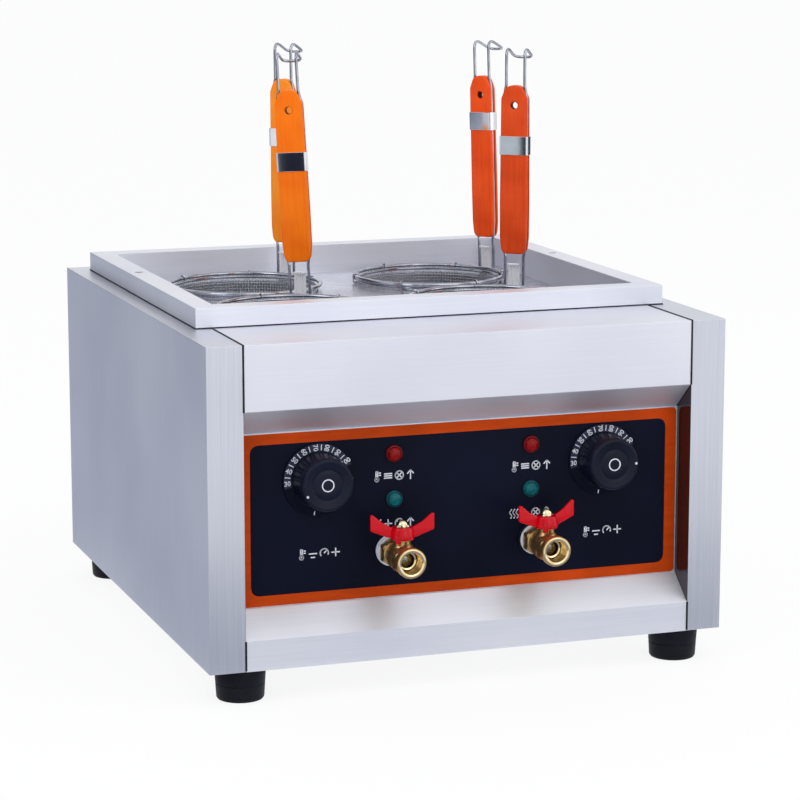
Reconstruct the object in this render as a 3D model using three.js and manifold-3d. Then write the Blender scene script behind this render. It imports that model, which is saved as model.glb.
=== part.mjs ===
// Countertop electric pasta cooker: two boiling tanks, four lift-out baskets, two drain valves.
// Millimetres. X runs to the right, Y to the back, Z up; the feet stand on z = 0.
import * as THREE from 'three';
import { mergeVertices } from 'three/addons/utils/BufferGeometryUtils.js';
import Module from 'manifold-3d';

const wasm = await Module();
wasm.setup();

// Housing
const body_width = 500;
const body_depth = 545;
const body_height = 296;
const sheet = 1.5;
const post_width = 34;
const post_tuck = 8;
const post_notch = 14;
const tray_flange = 12;

// Front: fascia above, recessed panel, ledge and lip below
const fascia_height = 60;
const fascia_slope_drop = 23.5;
const fascia_top_strip = 116;
const fascia_tuck = 12;
const recess_depth = 28.5;
const lip_height = 28;
const ledge_rise = 23;
const panel_top_clearance = 2;
const overlay_thickness = 0.8;
const overlay_margin = 0.6;
const overlay_corner = 4;
const overlay_side_margin = 1.8;

// Rear
const rear_top_flange = 36;
const vent_length = 60;
const vent_width = 4;
const vent_pitch = 12;
const vent_rows = 6;
const vent_offset_x = 110;
const vent_z = 190;
const gland_x = 150;
const gland_z = 60;

// Rim frame round the basin, and the basin
const rim_width = 463;
const rim_length = 416;
const rim_height = 18.7;
const rim_flange = 22;
const rim_setback = 100.8;
const rim_shelf = 10;
const rim_hole_diameter = 9;
const rim_hole_from_centre = 44;
const basin_depth = 30;

// Basket deck and its holes
const deck_clearance = 0.4;
const basket_across_share = 0.475;
const basket_along_share = 0.457;
const deck_hole_diameter = 149;

// Tanks
const tank_half_gap = 8;
const tank_outer_x = 198;
const tank_floor_height = 81.4;
const tank_corner = 22;
const tank_inset_y = 12;
const tank_flange = 9;

// Baskets
const ring_diameter = 153;
const ring_wire = 4.5;
const ring_height = 7;
const clip_wire = 2.4;
const clip_count = 6;
const bowl_depth = 118;
const bowl_wall = 1.2;
const bowl_taper = 9;
const bowl_round = 42;
const handle_wire = 3;
const handle_wire_spread = 19.3;
const grip_wire_spread = 24.4;
const grip_bottom = 34;
const grip_length = 169;
const grip_top_width = 19;
const grip_crown = 3;
const grip_width = 27.4;
const grip_wide_width = 29;
const grip_bottom_width = 20;
const grip_thickness = 10;
const grip_edge_round = 1.6;
const grip_shoulder = 13;
const grip_heel = 17;
const grip_wide_from_bottom = 52;
const grip_hole_diameter = 6;
const grip_hole_from_top = 20;
const ferrule_height = 18.5;
const ferrule_sheet = 0.5;
const hook_rise = 40;
const hook_reach = 24.5;
const hook_drop = 13.4;
const hook_bend = 7;
const wire_bend = 3;
const rest_plate_width = 12;
const rest_plate_height = 21;
const rest_plate_fold = 5;

// Drain valves
const valve_x = 70;
const valve_rise = 13.6;
const valve_length = 52.5;
const valve_hex = 25;
const valve_hex_length = 11;
const valve_end_diameter = 28;
const valve_end_length = 8;
const valve_waist_diameter = 22;
const valve_barrel_diameter = 27;
const barrel_radius_share = 0.9;
const barrel_length_share = 0.6;
const valve_outlet_bore = 19.5;
const valve_inlet_depth = 12;
const valve_outlet_depth = 13;
const valve_port = 14;
const ball_diameter = 22;
const ball_bore = 13;
const stem_diameter = 8;
const neck_diameter = 15;
const neck_height = 20;
const stop_pin_diameter = 3;
const stop_radius = 10.2;
const stop_pin_rise = 16.4;
const stop_pin_angle = -80;
const lever_hub_diameter = 22;
const lever_hub_height = 3.7;
const lever_span = 59;
const lever_plate = 3.2;
const lever_root = 7;
const lever_root_height = 7;
const lever_tip_lift = 4;
const lever_tip_top = 20;
const lever_lug_width = 5;
const lever_lug_drop = 6;
const lever_lug_angles = [-124, 34];
const nut_flats = 13;
const nut_hex_height = 7;
const nut_dome = 4;
const nut_bore_depth = 8;
const washer_diameter = 28;
const washer_thickness = 3;
const gasket_diameter = 31;
const gasket_thickness = 2.5;

// Drain pipe
const pipe_diameter = 21.3;
const pipe_bore = 16;
const pipe_collar_diameter = 32;
const pipe_collar_length = 4;
const pipe_inside_tank = 3;

// Controls
const dial_x = 139;
const dial_from_top = 47;
const dial_diameter = 68;
const dial_thickness = 1.5;
const knob_diameter = 51;
const knob_front_diameter = 49;
const knob_length = 28;
const knob_gap = 0.5;
const knob_round = 3;
const knob_dish = 1.2;
const knob_boss_diameter = 14;
const knob_bore_depth = 14;
const shaft_diameter = 6;
const thermostat_width = 42;
const thermostat_height = 34;
const thermostat_length = 28;
const lamp_x = 67;
const lamp_rise_shares = { red: 0.7617, green: 0.4043 };
const lamp_bezel_diameter = 16;
const lamp_bezel_thickness = 2.5;
const lamp_lens_diameter = 12.5;
const lamp_dome = 3.2;
const lamp_tail_diameter = 11;
const lamp_tail_length = 26;

// Heating
const element_diameter = 8;
const element_pitch = 32;
const element_runs = 4;
const element_height = 30;
const element_back_clearance = 34;
const element_front_clearance = 30;
const element_terminal = 24;
const bulb_diameter = 6;
const bulb_length = 110;
const bulb_height = 52;
const bulb_terminal = 16;
const capillary_diameter = 2.4;
const capillary_bend = 12;

// Feet, gland and terminal block
const foot_height = 31;
const foot_top_diameter = 46;
const foot_bottom_diameter = 42;
const foot_edge = 3;
const foot_stud_diameter = 8;
const foot_stud_length = 12;
const foot_inset_x = 36;
const foot_front_inset = 27.5;
const foot_rear_inset = 32.5;
const gland_thread_diameter = 20;
const gland_hex = 24;
const gland_hex_length = 8;
const gland_cap_diameter = 20;
const gland_cap_end_diameter = 15;
const gland_cap_length = 10;
const gland_locknut_length = 5;
const gland_bore = 9;
const block_from_back = 90;
const block_width = 64;
const block_depth = 30;
const block_height = 22;
const block_poles = 3;
const block_well_diameter = 7;
const block_well_depth = 8;
const block_base_height = 8;
const block_shoulder = 6;

// Clearances and facets
const seat_gap = 0.3;
const cut_overrun = 4;
const weld_tolerance = 0.0005;
const place_grid = 0.001;
const round_facets = 16;
const fine_facets = 20;
const small_facets = 8;
const pipe_facets = 12;
const wire_facets = 5;
const thin_wire_facets = 4;
const corner_steps = 2;
const bend_steps = 2;
const slight_bend = Math.PI / 6;
const bowl_steps = 3;
const ball_facets = 10;
const hex_sides = 6;

// Grip stance: handle direction from +X, its twist about the upright and its lean to the side, in degrees
const basket_stances = {
  front_left: { column: -1, row: -1, direction: 68.5, twist: -8.5, lean: 3.1, paint: 0xf07010 },
  front_right: { column: 1, row: -1, direction: 49, twist: 0, lean: 0, paint: 0xcc4a1e },
  rear_left: { column: -1, row: 1, direction: 40.5, twist: 0, lean: 0.5, paint: 0xf07010 },
  rear_right: { column: 1, row: 1, direction: 18.5, twist: 9.5, lean: 2.2, paint: 0xcc4a1e },
};
// Ferrule top below the grip's top, as shares of the grip's length
const ferrule_drop_shares = { front_left: 0.36, front_right: 0.3, rear_left: 0.3, rear_right: 0.225 };
// How far each drain valve's lever is turned from square across the flow, in degrees
const lever_turns = { left: -8, right: 10 };

// Places worked out from the sizes above
const half_width = body_width / 2;
const front_y = -body_depth / 2;
const back_y = body_depth / 2;
const opening_half = half_width - post_width;
const panel_y = front_y + recess_depth;
const slope_end_z = body_height - fascia_height - fascia_slope_drop;
const ledge_z = lip_height + ledge_rise;
const rim_bottom = body_height + seat_gap;
const rim_top = rim_bottom + rim_height;
const rim_front_y = front_y + rim_setback;
const rim_back_y = rim_front_y + rim_length;
const basin_half_width = rim_width / 2 - rim_flange;
const basin_front_y = rim_front_y + rim_flange;
const basin_back_y = rim_back_y - rim_flange;
const basin_centre_y = (basin_front_y + basin_back_y) / 2;
const basket_pitch_x = basket_across_share * 2 * basin_half_width;
const basket_pitch_y = basket_along_share * (basin_back_y - basin_front_y);
const deck_top = rim_top - basin_depth;
const shelf_top = deck_top - sheet - seat_gap;
const shelf_bottom = shelf_top - sheet;
const tank_top = shelf_bottom - seat_gap;
const tank_bottom = tank_floor_height;
const valve_z = tank_bottom + valve_rise;
const dial_z = slope_end_z - dial_from_top;
const lamp_upper_z = valve_z + lamp_rise_shares.red * (slope_end_z - valve_z);
const lamp_lower_z = valve_z + lamp_rise_shares.green * (slope_end_z - valve_z);
const tank_front_y = basin_front_y + tank_inset_y;
const tank_back_y = basin_back_y - tank_inset_y;
const overlay_y = panel_y - seat_gap;
const panel_face_y = overlay_y - overlay_thickness;
const gasket_y = panel_face_y - seat_gap;
const washer_y = gasket_y - gasket_thickness - seat_gap;
const valve_inlet_y = washer_y - washer_thickness - seat_gap;
const stem_from_inlet = (valve_inlet_depth + valve_length - valve_outlet_depth) / 2;
const valve_reach = -(valve_inlet_y - valve_length);
const gland_reach = back_y + seat_gap + gland_hex_length + gland_cap_length;

const steel = { color: 0xc4c8d2, roughness: 0.32, metalness: 1 };
const dark_steel = { color: 0x8b8f98, roughness: 0.4, metalness: 1 };
const polished_steel = { color: 0xd8dae2, roughness: 0.16, metalness: 1 };
const brass = { color: 0xc8a060, roughness: 0.25, metalness: 1 };
const red_vinyl = { color: 0xc00515, roughness: 0.38, metalness: 0 };
const navy_print = { color: 0x121626, roughness: 0.35, metalness: 0 };
const black_plastic = { color: 0x1a1e2c, roughness: 0.3, metalness: 0 };
const black_rubber = { color: 0x15161f, roughness: 0.75, metalness: 0 };
const white_plastic = { color: 0xdcdee6, roughness: 0.5, metalness: 0 };
const ceramic = { color: 0xe8e2d4, roughness: 0.45, metalness: 0 };
const red_lens = { color: 0xa00010, roughness: 0.15, metalness: 0 };
const green_lens = { color: 0x0e7a78, roughness: 0.15, metalness: 0 };

const cooker = new THREE.Group();
const body = new THREE.Group();
body.position.set(0, (valve_reach - gland_reach) / 2, foot_height);
cooker.add(body);

// A closed geometry as a solid: corners on a fine grid and merged, faces turned outward
function solid(geometry) {
  const bare = geometry.clone();
  bare.deleteAttribute('normal');
  bare.deleteAttribute('uv');
  const raw = bare.getAttribute('position').array;
  raw.forEach((value, i) => {
    raw[i] = Math.round(value / place_grid) * place_grid;
  });
  const welded = mergeVertices(bare, weld_tolerance);
  const places = welded.getAttribute('position').array;
  const corners = welded.index.array;
  const triangles = [];
  let volume = 0;
  const a = new THREE.Vector3();
  const b = new THREE.Vector3();
  const c = new THREE.Vector3();
  for (let i = 0; i < corners.length; i += 3) {
    const [p, q, r] = [corners[i], corners[i + 1], corners[i + 2]];
    if (p === q || q === r || r === p) continue;
    triangles.push([p, q, r]);
    a.fromArray(places, 3 * p);
    b.fromArray(places, 3 * q);
    c.fromArray(places, 3 * r);
    volume += a.dot(b.cross(c));
  }
  const outward = triangles.map(([p, q, r]) => (volume < 0 ? [p, r, q] : [p, q, r]));
  const triVerts = Uint32Array.from(outward.flat());
  const mesh = new wasm.Mesh({ numProp: 3, vertProperties: Float32Array.from(places), triVerts });
  return new wasm.Manifold(mesh);
}

function joined(...shapes) {
  return shapes.reduce((whole, shape) => whole.add(shape));
}

// A solid as a named mesh in its group
function piece(parent, name, shape, finish) {
  const made = shape.asOriginal().simplify(place_grid).getMesh();
  const geometry = new THREE.BufferGeometry();
  geometry.setAttribute('position', new THREE.BufferAttribute(Float32Array.from(made.vertProperties), 3));
  geometry.setIndex(new THREE.BufferAttribute(Uint32Array.from(made.triVerts), 1));
  geometry.computeVertexNormals();
  const mesh = new THREE.Mesh(geometry, new THREE.MeshStandardMaterial(finish));
  mesh.name = name;
  parent.add(mesh);
  return mesh;
}

// A block between two corners given in any order
function block([x0, x1], [y0, y1], [z0, z1]) {
  const width = Math.abs(x1 - x0);
  const depth = Math.abs(y1 - y0);
  const height = Math.abs(z1 - z0);
  const geometry = new THREE.BoxGeometry(width, depth, height);
  return solid(geometry.translate((x0 + x1) / 2, (y0 + y1) / 2, (z0 + z1) / 2));
}

// A round bar between two points
function bar(from, to, diameter, facets = small_facets, end_diameter = diameter) {
  const span = new THREE.Vector3().subVectors(to, from);
  const geometry = new THREE.CylinderGeometry(end_diameter / 2, diameter / 2, span.length(), facets);
  geometry.translate(0, span.length() / 2, 0);
  const turn = new THREE.Quaternion().setFromUnitVectors(new THREE.Vector3(0, 1, 0), span.normalize());
  return solid(geometry.applyQuaternion(turn).translate(from.x, from.y, from.z));
}

// A hexagonal bar along Y or Z, given its size across flats
function hexBar(from, to, across_flats) {
  return bar(from, to, across_flats / Math.cos(Math.PI / hex_sides), hex_sides);
}

// A round piece about the X = Z = 0 line, from points of radius and Y
function turnedAlongY(points, facets = round_facets) {
  return solid(new THREE.LatheGeometry(points.map(([radius, y]) => new THREE.Vector2(radius, y)), facets));
}

// A round piece about the Z axis, from points of radius and Z
function turnedAlongZ(points, facets = round_facets) {
  const profile = points.map(([radius, z]) => new THREE.Vector2(radius, z));
  return solid(new THREE.LatheGeometry(profile, facets).rotateX(Math.PI / 2));
}

// The closed outline of a folded sheet, from the line of its outer face
function foldedOutline(line, thickness) {
  const outer = line.map(([u, v]) => new THREE.Vector2(u, v));
  const inner = outer.map((point, i) => {
    const before = i > 0 ? point.clone().sub(outer[i - 1]).normalize() : null;
    const after = i < outer.length - 1 ? outer[i + 1].clone().sub(point).normalize() : null;
    const first = before ?? after;
    const second = after ?? before;
    const left_first = new THREE.Vector2(-first.y, first.x);
    const left_second = new THREE.Vector2(-second.y, second.x);
    const mitre = left_first.clone().add(left_second).normalize();
    return point.clone().addScaledVector(mitre, thickness / mitre.dot(left_first));
  });
  return new THREE.Shape([...outer, ...inner.reverse()]);
}

// A profile in the YZ plane, drawn out along X
function drawnAlongX(shape, [x0, x1]) {
  const geometry = new THREE.ExtrudeGeometry(shape, { depth: Math.abs(x1 - x0), bevelEnabled: false });
  geometry.rotateZ(Math.PI / 2).rotateY(Math.PI / 2);
  return solid(geometry.translate(Math.min(x0, x1), 0, 0));
}

// An outline in the XY plane, drawn up along Z
function drawnAlongZ(shape, [z0, z1]) {
  return solid(new THREE.ExtrudeGeometry(shape, { depth: z1 - z0, bevelEnabled: false }).translate(0, 0, z0));
}

// An outline in the XZ plane, drawn back along Y
function drawnAlongY(shape, [y0, y1]) {
  const geometry = new THREE.ExtrudeGeometry(shape, { depth: y1 - y0, bevelEnabled: false });
  return solid(geometry.rotateX(Math.PI / 2).translate(0, y1, 0));
}

// A rectangle with round corners
function roundedRectangle([u0, u1], [v0, v1], radius) {
  const shape = new THREE.Shape();
  shape.absarc(u1 - radius, v1 - radius, radius, 0, Math.PI / 2);
  shape.absarc(u0 + radius, v1 - radius, radius, Math.PI / 2, Math.PI);
  shape.absarc(u0 + radius, v0 + radius, radius, Math.PI, 3 * Math.PI / 2);
  shape.absarc(u1 - radius, v0 + radius, radius, 3 * Math.PI / 2, 2 * Math.PI);
  const outline = shape.getPoints(corner_steps);
  const apart = (point, i) => i === 0 || point.distanceTo(outline[i - 1]) > weld_tolerance;
  return new THREE.Shape(outline.filter(apart));
}

// The path of a bent wire: straight runs and round bends, with rings only where it turns
class BentWire extends THREE.Curve {
  constructor(corners, bend_radius) {
    super();
    this.places = [corners[0]];
    for (let i = 1; i < corners.length - 1; i += 1) {
      const arriving = corners[i].clone().sub(corners[i - 1]).normalize();
      const leaving = corners[i + 1].clone().sub(corners[i]).normalize();
      const turn = arriving.angleTo(leaving);
      const before = corners[i].distanceTo(corners[i - 1]) / 2;
      const after = corners[i].distanceTo(corners[i + 1]) / 2;
      const setback = Math.min(bend_radius * Math.tan(turn / 2), before, after);
      const radius = setback / Math.tan(turn / 2);
      const start = corners[i].clone().addScaledVector(arriving, -setback);
      const inward = leaving.clone().addScaledVector(arriving, -leaving.dot(arriving)).normalize();
      const steps = turn < slight_bend ? 0 : Math.ceil(bend_steps * turn / (Math.PI / 2) - weld_tolerance);
      if (steps === 0) this.places.push(corners[i]);
      for (let k = 0; steps > 0 && k <= steps; k += 1) {
        const angle = turn * k / steps;
        const place = start.clone().addScaledVector(arriving, radius * Math.sin(angle));
        place.addScaledVector(inward, radius * (1 - Math.cos(angle)));
        if (place.distanceTo(this.places.at(-1)) > weld_tolerance) this.places.push(place);
      }
    }
    this.places.push(corners.at(-1));
  }

  getPoint(share) {
    return this.places[Math.round(share * (this.places.length - 1))].clone();
  }

  getPointAt(share) {
    return this.getPoint(share);
  }

  getTangentAt(share) {
    const i = Math.round(share * (this.places.length - 1));
    const before = this.places[Math.max(i - 1, 0)];
    const here = this.places[i];
    const after = this.places[Math.min(i + 1, this.places.length - 1)];
    const arriving = here.clone().sub(before).normalize();
    const leaving = after.clone().sub(here).normalize();
    return arriving.add(leaving).normalize();
  }
}

// A wire of round section bent along its corners
function wire(corners, diameter, bend_radius) {
  const path = new BentWire(corners, bend_radius);
  const section = new THREE.Shape();
  for (let i = 0; i < wire_facets; i += 1) {
    const angle = 2 * Math.PI * i / wire_facets;
    const place = [Math.cos(angle) * diameter / 2, Math.sin(angle) * diameter / 2];
    if (i === 0) section.moveTo(...place);
    else section.lineTo(...place);
  }
  const steps = path.places.length - 1;
  return solid(new THREE.ExtrudeGeometry(section, { steps, extrudePath: path, bevelEnabled: false }));
}

function ring(diameter, wire_diameter) {
  return solid(new THREE.TorusGeometry(diameter / 2, wire_diameter / 2, wire_facets, fine_facets));
}

function at(x, y, z) {
  return new THREE.Vector3(x, y, z);
}

// Base tray with upturned side and rear flanges and the four foot holes
function footPlaces() {
  const places = {};
  for (const [side, sign] of [['left', -1], ['right', 1]]) {
    places[`front_${side}`] = at(sign * (half_width - foot_inset_x), front_y + foot_front_inset, 0);
    places[`rear_${side}`] = at(sign * (half_width - foot_inset_x), back_y - foot_rear_inset, 0);
  }
  return places;
}

function baseTray() {
  const edge = half_width - sheet - seat_gap;
  const front = front_y + sheet + seat_gap;
  const rear = back_y - sheet - seat_gap;
  let tray = block([-edge, edge], [front, rear], [0, sheet]);
  for (const sign of [-1, 1]) {
    const flange = block([sign * edge, sign * (edge - sheet)], [front, rear], [0, tray_flange]);
    tray = tray.add(flange);
  }
  tray = tray.add(block([-edge, edge], [rear - sheet, rear], [0, tray_flange]));
  for (const place of Object.values(footPlaces())) {
    const hole = foot_stud_diameter + 2 * seat_gap;
    tray = tray.subtract(bar(at(place.x, place.y, -cut_overrun), at(place.x, place.y, cut_overrun), hole));
  }
  return tray;
}

// Side panel: outer wall, front post with its return into the recess, and the top flange
function sidePanel(sign) {
  const outer = sign * half_width;
  const inner = sign * opening_half;
  const wall = block([outer, outer - sign * sheet], [front_y, back_y], [0, body_height]);
  const post = block([outer, inner], [front_y, front_y + sheet], [0, body_height]);
  const recess = [front_y, panel_y + post_tuck];
  const recess_wall = block([inner, inner + sign * sheet], recess, [post_notch, body_height]);
  const top = block([outer, inner], [front_y, back_y - sheet - seat_gap], [body_height - sheet, body_height]);
  return joined(wall, post, recess_wall, top);
}

// Fascia folded from one sheet: top strip, vertical band, slope and a tuck behind the panel
const opening = [-(opening_half - seat_gap), opening_half - seat_gap];

function frontFascia() {
  const tuck_y = panel_y + sheet + seat_gap;
  const fall = fascia_slope_drop / recess_depth;
  const tuck_z = slope_end_z - (tuck_y - panel_y) * fall;
  const line = [
    [front_y + fascia_top_strip, body_height],
    [front_y, body_height],
    [front_y, body_height - fascia_height],
    [tuck_y, tuck_z],
    [tuck_y, tuck_z - fascia_tuck],
  ];
  return drawnAlongX(foldedOutline(line, sheet), opening);
}

// What passes through the control panel: places and diameters of the holes
function panelHoles() {
  const holes = [];
  for (const sign of [-1, 1]) {
    holes.push([sign * dial_x, dial_z, shaft_diameter + 4 * seat_gap]);
    holes.push([sign * lamp_x, lamp_upper_z, lamp_tail_diameter + 2 * seat_gap]);
    holes.push([sign * lamp_x, lamp_lower_z, lamp_tail_diameter + 2 * seat_gap]);
    holes.push([sign * valve_x, valve_z, pipe_diameter + 2 * seat_gap]);
  }
  return holes;
}

function withPanelHoles(shape) {
  return panelHoles().reduce((left, [x, z, diameter]) => {
    const from = at(x, panel_y - cut_overrun, z);
    const to = at(x, panel_y + cut_overrun, z);
    return left.subtract(bar(from, to, diameter, diameter > pipe_bore ? pipe_facets : small_facets));
  }, shape);
}

// Control panel: plate, ledge and lip folded from one sheet
function controlPanel() {
  const line = [
    [panel_y, slope_end_z - panel_top_clearance],
    [panel_y, ledge_z],
    [front_y, lip_height],
    [front_y, 0],
  ];
  return withPanelHoles(drawnAlongX(foldedOutline(line, sheet), opening));
}

// Printed overlay glued to the panel
function panelOverlay() {
  const half = opening_half - overlay_side_margin;
  const heights = [ledge_z + overlay_margin, slope_end_z - panel_top_clearance - overlay_margin];
  const outline = roundedRectangle([-half, half], heights, overlay_corner);
  return withPanelHoles(drawnAlongY(outline, [overlay_y - overlay_thickness, overlay_y]));
}

// Rear panel with its top flange, two banks of vents and the gland hole
function rearPanel() {
  const half = half_width - sheet - seat_gap;
  const below_side_flange = body_height - sheet - seat_gap;
  const plate = block([-half, half], [back_y - sheet, back_y], [0, below_side_flange]);
  const upper = block(opening, [back_y - sheet, back_y], [below_side_flange - sheet, body_height]);
  const flange = block(opening, [back_y - rear_top_flange, back_y], [body_height - sheet, body_height]);
  let panel = joined(plate, upper, flange);
  const through = [back_y - cut_overrun, back_y + cut_overrun];
  for (const sign of [-1, 1]) {
    for (let row = 0; row < vent_rows; row += 1) {
      const z = vent_z + (row - (vent_rows - 1) / 2) * vent_pitch;
      const across = [sign * vent_offset_x - vent_length / 2, sign * vent_offset_x + vent_length / 2];
      panel = panel.subtract(block(across, through, [z - vent_width / 2, z + vent_width / 2]));
    }
  }
  const gland_hole = gland_thread_diameter + 2 * seat_gap;
  const gland_axis = [at(gland_x, through[0], gland_z), at(gland_x, through[1], gland_z)];
  return panel.subtract(bar(...gland_axis, gland_hole, round_facets));
}

// A rectangular frame between an outer and an inner rectangle
function frame([ox, oy0, oy1], [ix, iy0, iy1], [z0, z1]) {
  const through = [z0 - cut_overrun, z1 + cut_overrun];
  return block([-ox, ox], [oy0, oy1], [z0, z1]).subtract(block([-ix, ix], [iy0, iy1], through));
}

// Rim: a raised channel round the basin with the shelf that carries the deck
function tankRim() {
  const outer = [rim_width / 2, rim_front_y, rim_back_y];
  const inner = [basin_half_width, basin_front_y, basin_back_y];
  const grown = ([x, y0, y1], by) => [x + by, y0 - by, y1 + by];
  const top = frame(outer, inner, [rim_top - sheet, rim_top]);
  const skirt = frame(outer, grown(outer, -sheet), [rim_bottom, rim_top]);
  const wall = frame(grown(inner, sheet), inner, [shelf_bottom, rim_top]);
  const shelf = frame(grown(inner, sheet), grown(inner, -rim_shelf), [shelf_bottom, shelf_top]);
  let rim = joined(top, skirt, wall, shelf);
  const hole_x = (rim_width - rim_flange) / 2;
  const hole_y = basin_centre_y + rim_hole_from_centre;
  for (const sign of [-1, 1]) {
    const above = at(sign * hole_x, hole_y, rim_top + cut_overrun);
    rim = rim.subtract(bar(at(sign * hole_x, hole_y, rim_top - cut_overrun), above, rim_hole_diameter));
  }
  return rim;
}

// Deck plate with one hole for each basket
function basketPlace({ column, row }) {
  return [column * basket_pitch_x / 2, basin_centre_y + row * basket_pitch_y / 2];
}

function basketDeck() {
  const half = basin_half_width - deck_clearance;
  const depth = [basin_front_y + deck_clearance, basin_back_y - deck_clearance];
  let deck = block([-half, half], depth, [deck_top - sheet, deck_top]);
  for (const stance of Object.values(basket_stances)) {
    const [x, y] = basketPlace(stance);
    const below = at(x, y, deck_top - cut_overrun);
    deck = deck.subtract(bar(below, at(x, y, deck_top + cut_overrun), deck_hole_diameter, fine_facets));
  }
  return deck;
}

// Drawn tank with round corners, a flange under the rim's shelf, and holes in its front wall
const tank_centre_x = (tank_half_gap + tank_outer_x) / 2;
const element_first = -element_pitch * (element_runs - 1) / 2;

function boilingTank(sign) {
  const across = [sign * tank_half_gap, sign * tank_outer_x].sort((a, b) => a - b);
  const along = [tank_front_y, tank_back_y];
  const inside = (range, by) => [range[0] + by, range[1] - by];
  const outer = roundedRectangle(across, along, tank_corner);
  const inner = roundedRectangle(inside(across, sheet), inside(along, sheet), tank_corner - sheet);
  const shell = drawnAlongZ(outer, [tank_bottom, tank_top]);
  const flange_inner = Math.min(tank_flange, tank_half_gap - seat_gap);
  const flange_across = [sign * (tank_half_gap - flange_inner), sign * (tank_outer_x + tank_flange)];
  const flange = block(flange_across, inside(along, -tank_flange), [tank_top - sheet, tank_top]);
  const hollow = drawnAlongZ(inner, [tank_bottom + sheet, tank_top + cut_overrun]);
  let tank = shell.add(flange).subtract(hollow);
  const front = [tank_front_y - cut_overrun, tank_front_y + cut_overrun];
  const drill = (x, z, diameter, facets = small_facets) =>
    bar(at(x, front[0], z), at(x, front[1], z), diameter + 4 * seat_gap, facets);
  tank = tank.subtract(drill(sign * valve_x, valve_z, pipe_diameter - 2 * seat_gap, pipe_facets));
  const centre = sign * tank_centre_x;
  for (const x of [centre + element_first, centre - element_first]) {
    tank = tank.subtract(drill(x, tank_bottom + element_height, element_diameter));
  }
  return tank.subtract(drill(centre, tank_bottom + bulb_height, bulb_diameter));
}

// Tubular heating element: a serpentine with both ends through the tank's front wall
function heatingElement(sign) {
  const centre = sign * tank_centre_x;
  const z = tank_bottom + element_height;
  const near = tank_front_y + element_front_clearance;
  const far = tank_back_y - element_back_clearance;
  const corners = [at(centre + element_first, tank_front_y - element_terminal, z)];
  for (let run = 0; run < element_runs; run += 1) {
    const x = centre + element_first + run * element_pitch;
    if (run > 0) corners.push(at(x, run % 2 ? far : near, z));
    if (run < element_runs - 1) corners.push(at(x, run % 2 ? near : far, z));
  }
  corners.push(at(centre - element_first, tank_front_y - element_terminal, z));
  return wire(corners, element_diameter, element_pitch / 2);
}

// Drain pipe from the tank, with a welded collar, into the valve's inlet
function drainPipe() {
  const start = tank_front_y + sheet + pipe_inside_tank;
  const collar = tank_front_y - seat_gap;
  const end = valve_inlet_y - valve_inlet_depth + seat_gap;
  return turnedAlongY([
    [pipe_bore / 2, start],
    [pipe_diameter / 2, start],
    [pipe_diameter / 2, collar],
    [pipe_collar_diameter / 2, collar],
    [pipe_collar_diameter / 2, collar - pipe_collar_length],
    [pipe_diameter / 2, collar - pipe_collar_length],
    [pipe_diameter / 2, end],
    [pipe_bore / 2, end],
    [pipe_bore / 2, start],
  ], pipe_facets);
}

// Capillary thermostat: case and knob shaft behind the panel, and the tube to its bulb in the tank
function thermostat(sign) {
  const front = panel_y + sheet + seat_gap;
  const x = sign * dial_x;
  const across = [x - thermostat_width / 2, x + thermostat_width / 2];
  const high = [dial_z - thermostat_height / 2, dial_z + thermostat_height / 2];
  const case_block = block(across, [front, front + thermostat_length], high);
  const shaft_end = panel_face_y - seat_gap - dial_thickness - knob_gap - knob_bore_depth + seat_gap;
  const shaft = bar(at(x, front + sheet, dial_z), at(x, shaft_end, dial_z), shaft_diameter);
  const bulb_x = sign * tank_centre_x;
  const bulb_z = tank_bottom + bulb_height;
  const bulb_from = tank_front_y - bulb_terminal;
  const bulb_end = at(bulb_x, tank_front_y + bulb_length, bulb_z);
  const bulb = bar(at(bulb_x, bulb_from, bulb_z), bulb_end, bulb_diameter);
  const port = at(x, front + thermostat_length / 2, dial_z);
  const turn = at(port.x, port.y, bulb_z);
  const route = [
    turn,
    at(x, bulb_from - capillary_bend, bulb_z),
    at(bulb_x, bulb_from - capillary_bend, bulb_z),
    at(bulb_x, bulb_from + sheet, bulb_z),
  ];
  const drop = bar(turn, port, capillary_diameter);
  return joined(case_block, shaft, bulb, wire(route, capillary_diameter, capillary_bend), drop);
}

// Dial plate and knob, both turned about Y
function dialPlate() {
  const back = panel_face_y - seat_gap;
  const front = back - dial_thickness;
  const bore = shaft_diameter / 2 + 2 * seat_gap;
  const outer = dial_diameter / 2;
  return turnedAlongY([
    [bore, back],
    [outer, back],
    [outer, front + dial_thickness / 2],
    [outer - dial_thickness / 2, front],
    [bore, front],
    [bore, back],
  ], fine_facets);
}

function knob() {
  const back = panel_face_y - seat_gap - dial_thickness - knob_gap;
  const front = back - knob_length;
  const rim = knob_front_diameter / 2;
  const round = knob_round * (1 - Math.SQRT1_2);
  const bore = shaft_diameter / 2 + seat_gap;
  return turnedAlongY([
    [0, back - knob_bore_depth],
    [bore, back - knob_bore_depth],
    [bore, back],
    [knob_diameter / 2, back],
    [rim, front + knob_round],
    [rim - round, front + round],
    [rim - knob_round, front],
    [knob_boss_diameter, front + knob_dish],
    [knob_boss_diameter / 2, front + knob_dish],
    [knob_boss_diameter / 2 - knob_dish / 2, front + knob_dish / 2],
    [0, front + knob_dish / 2],
  ], fine_facets);
}

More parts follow.
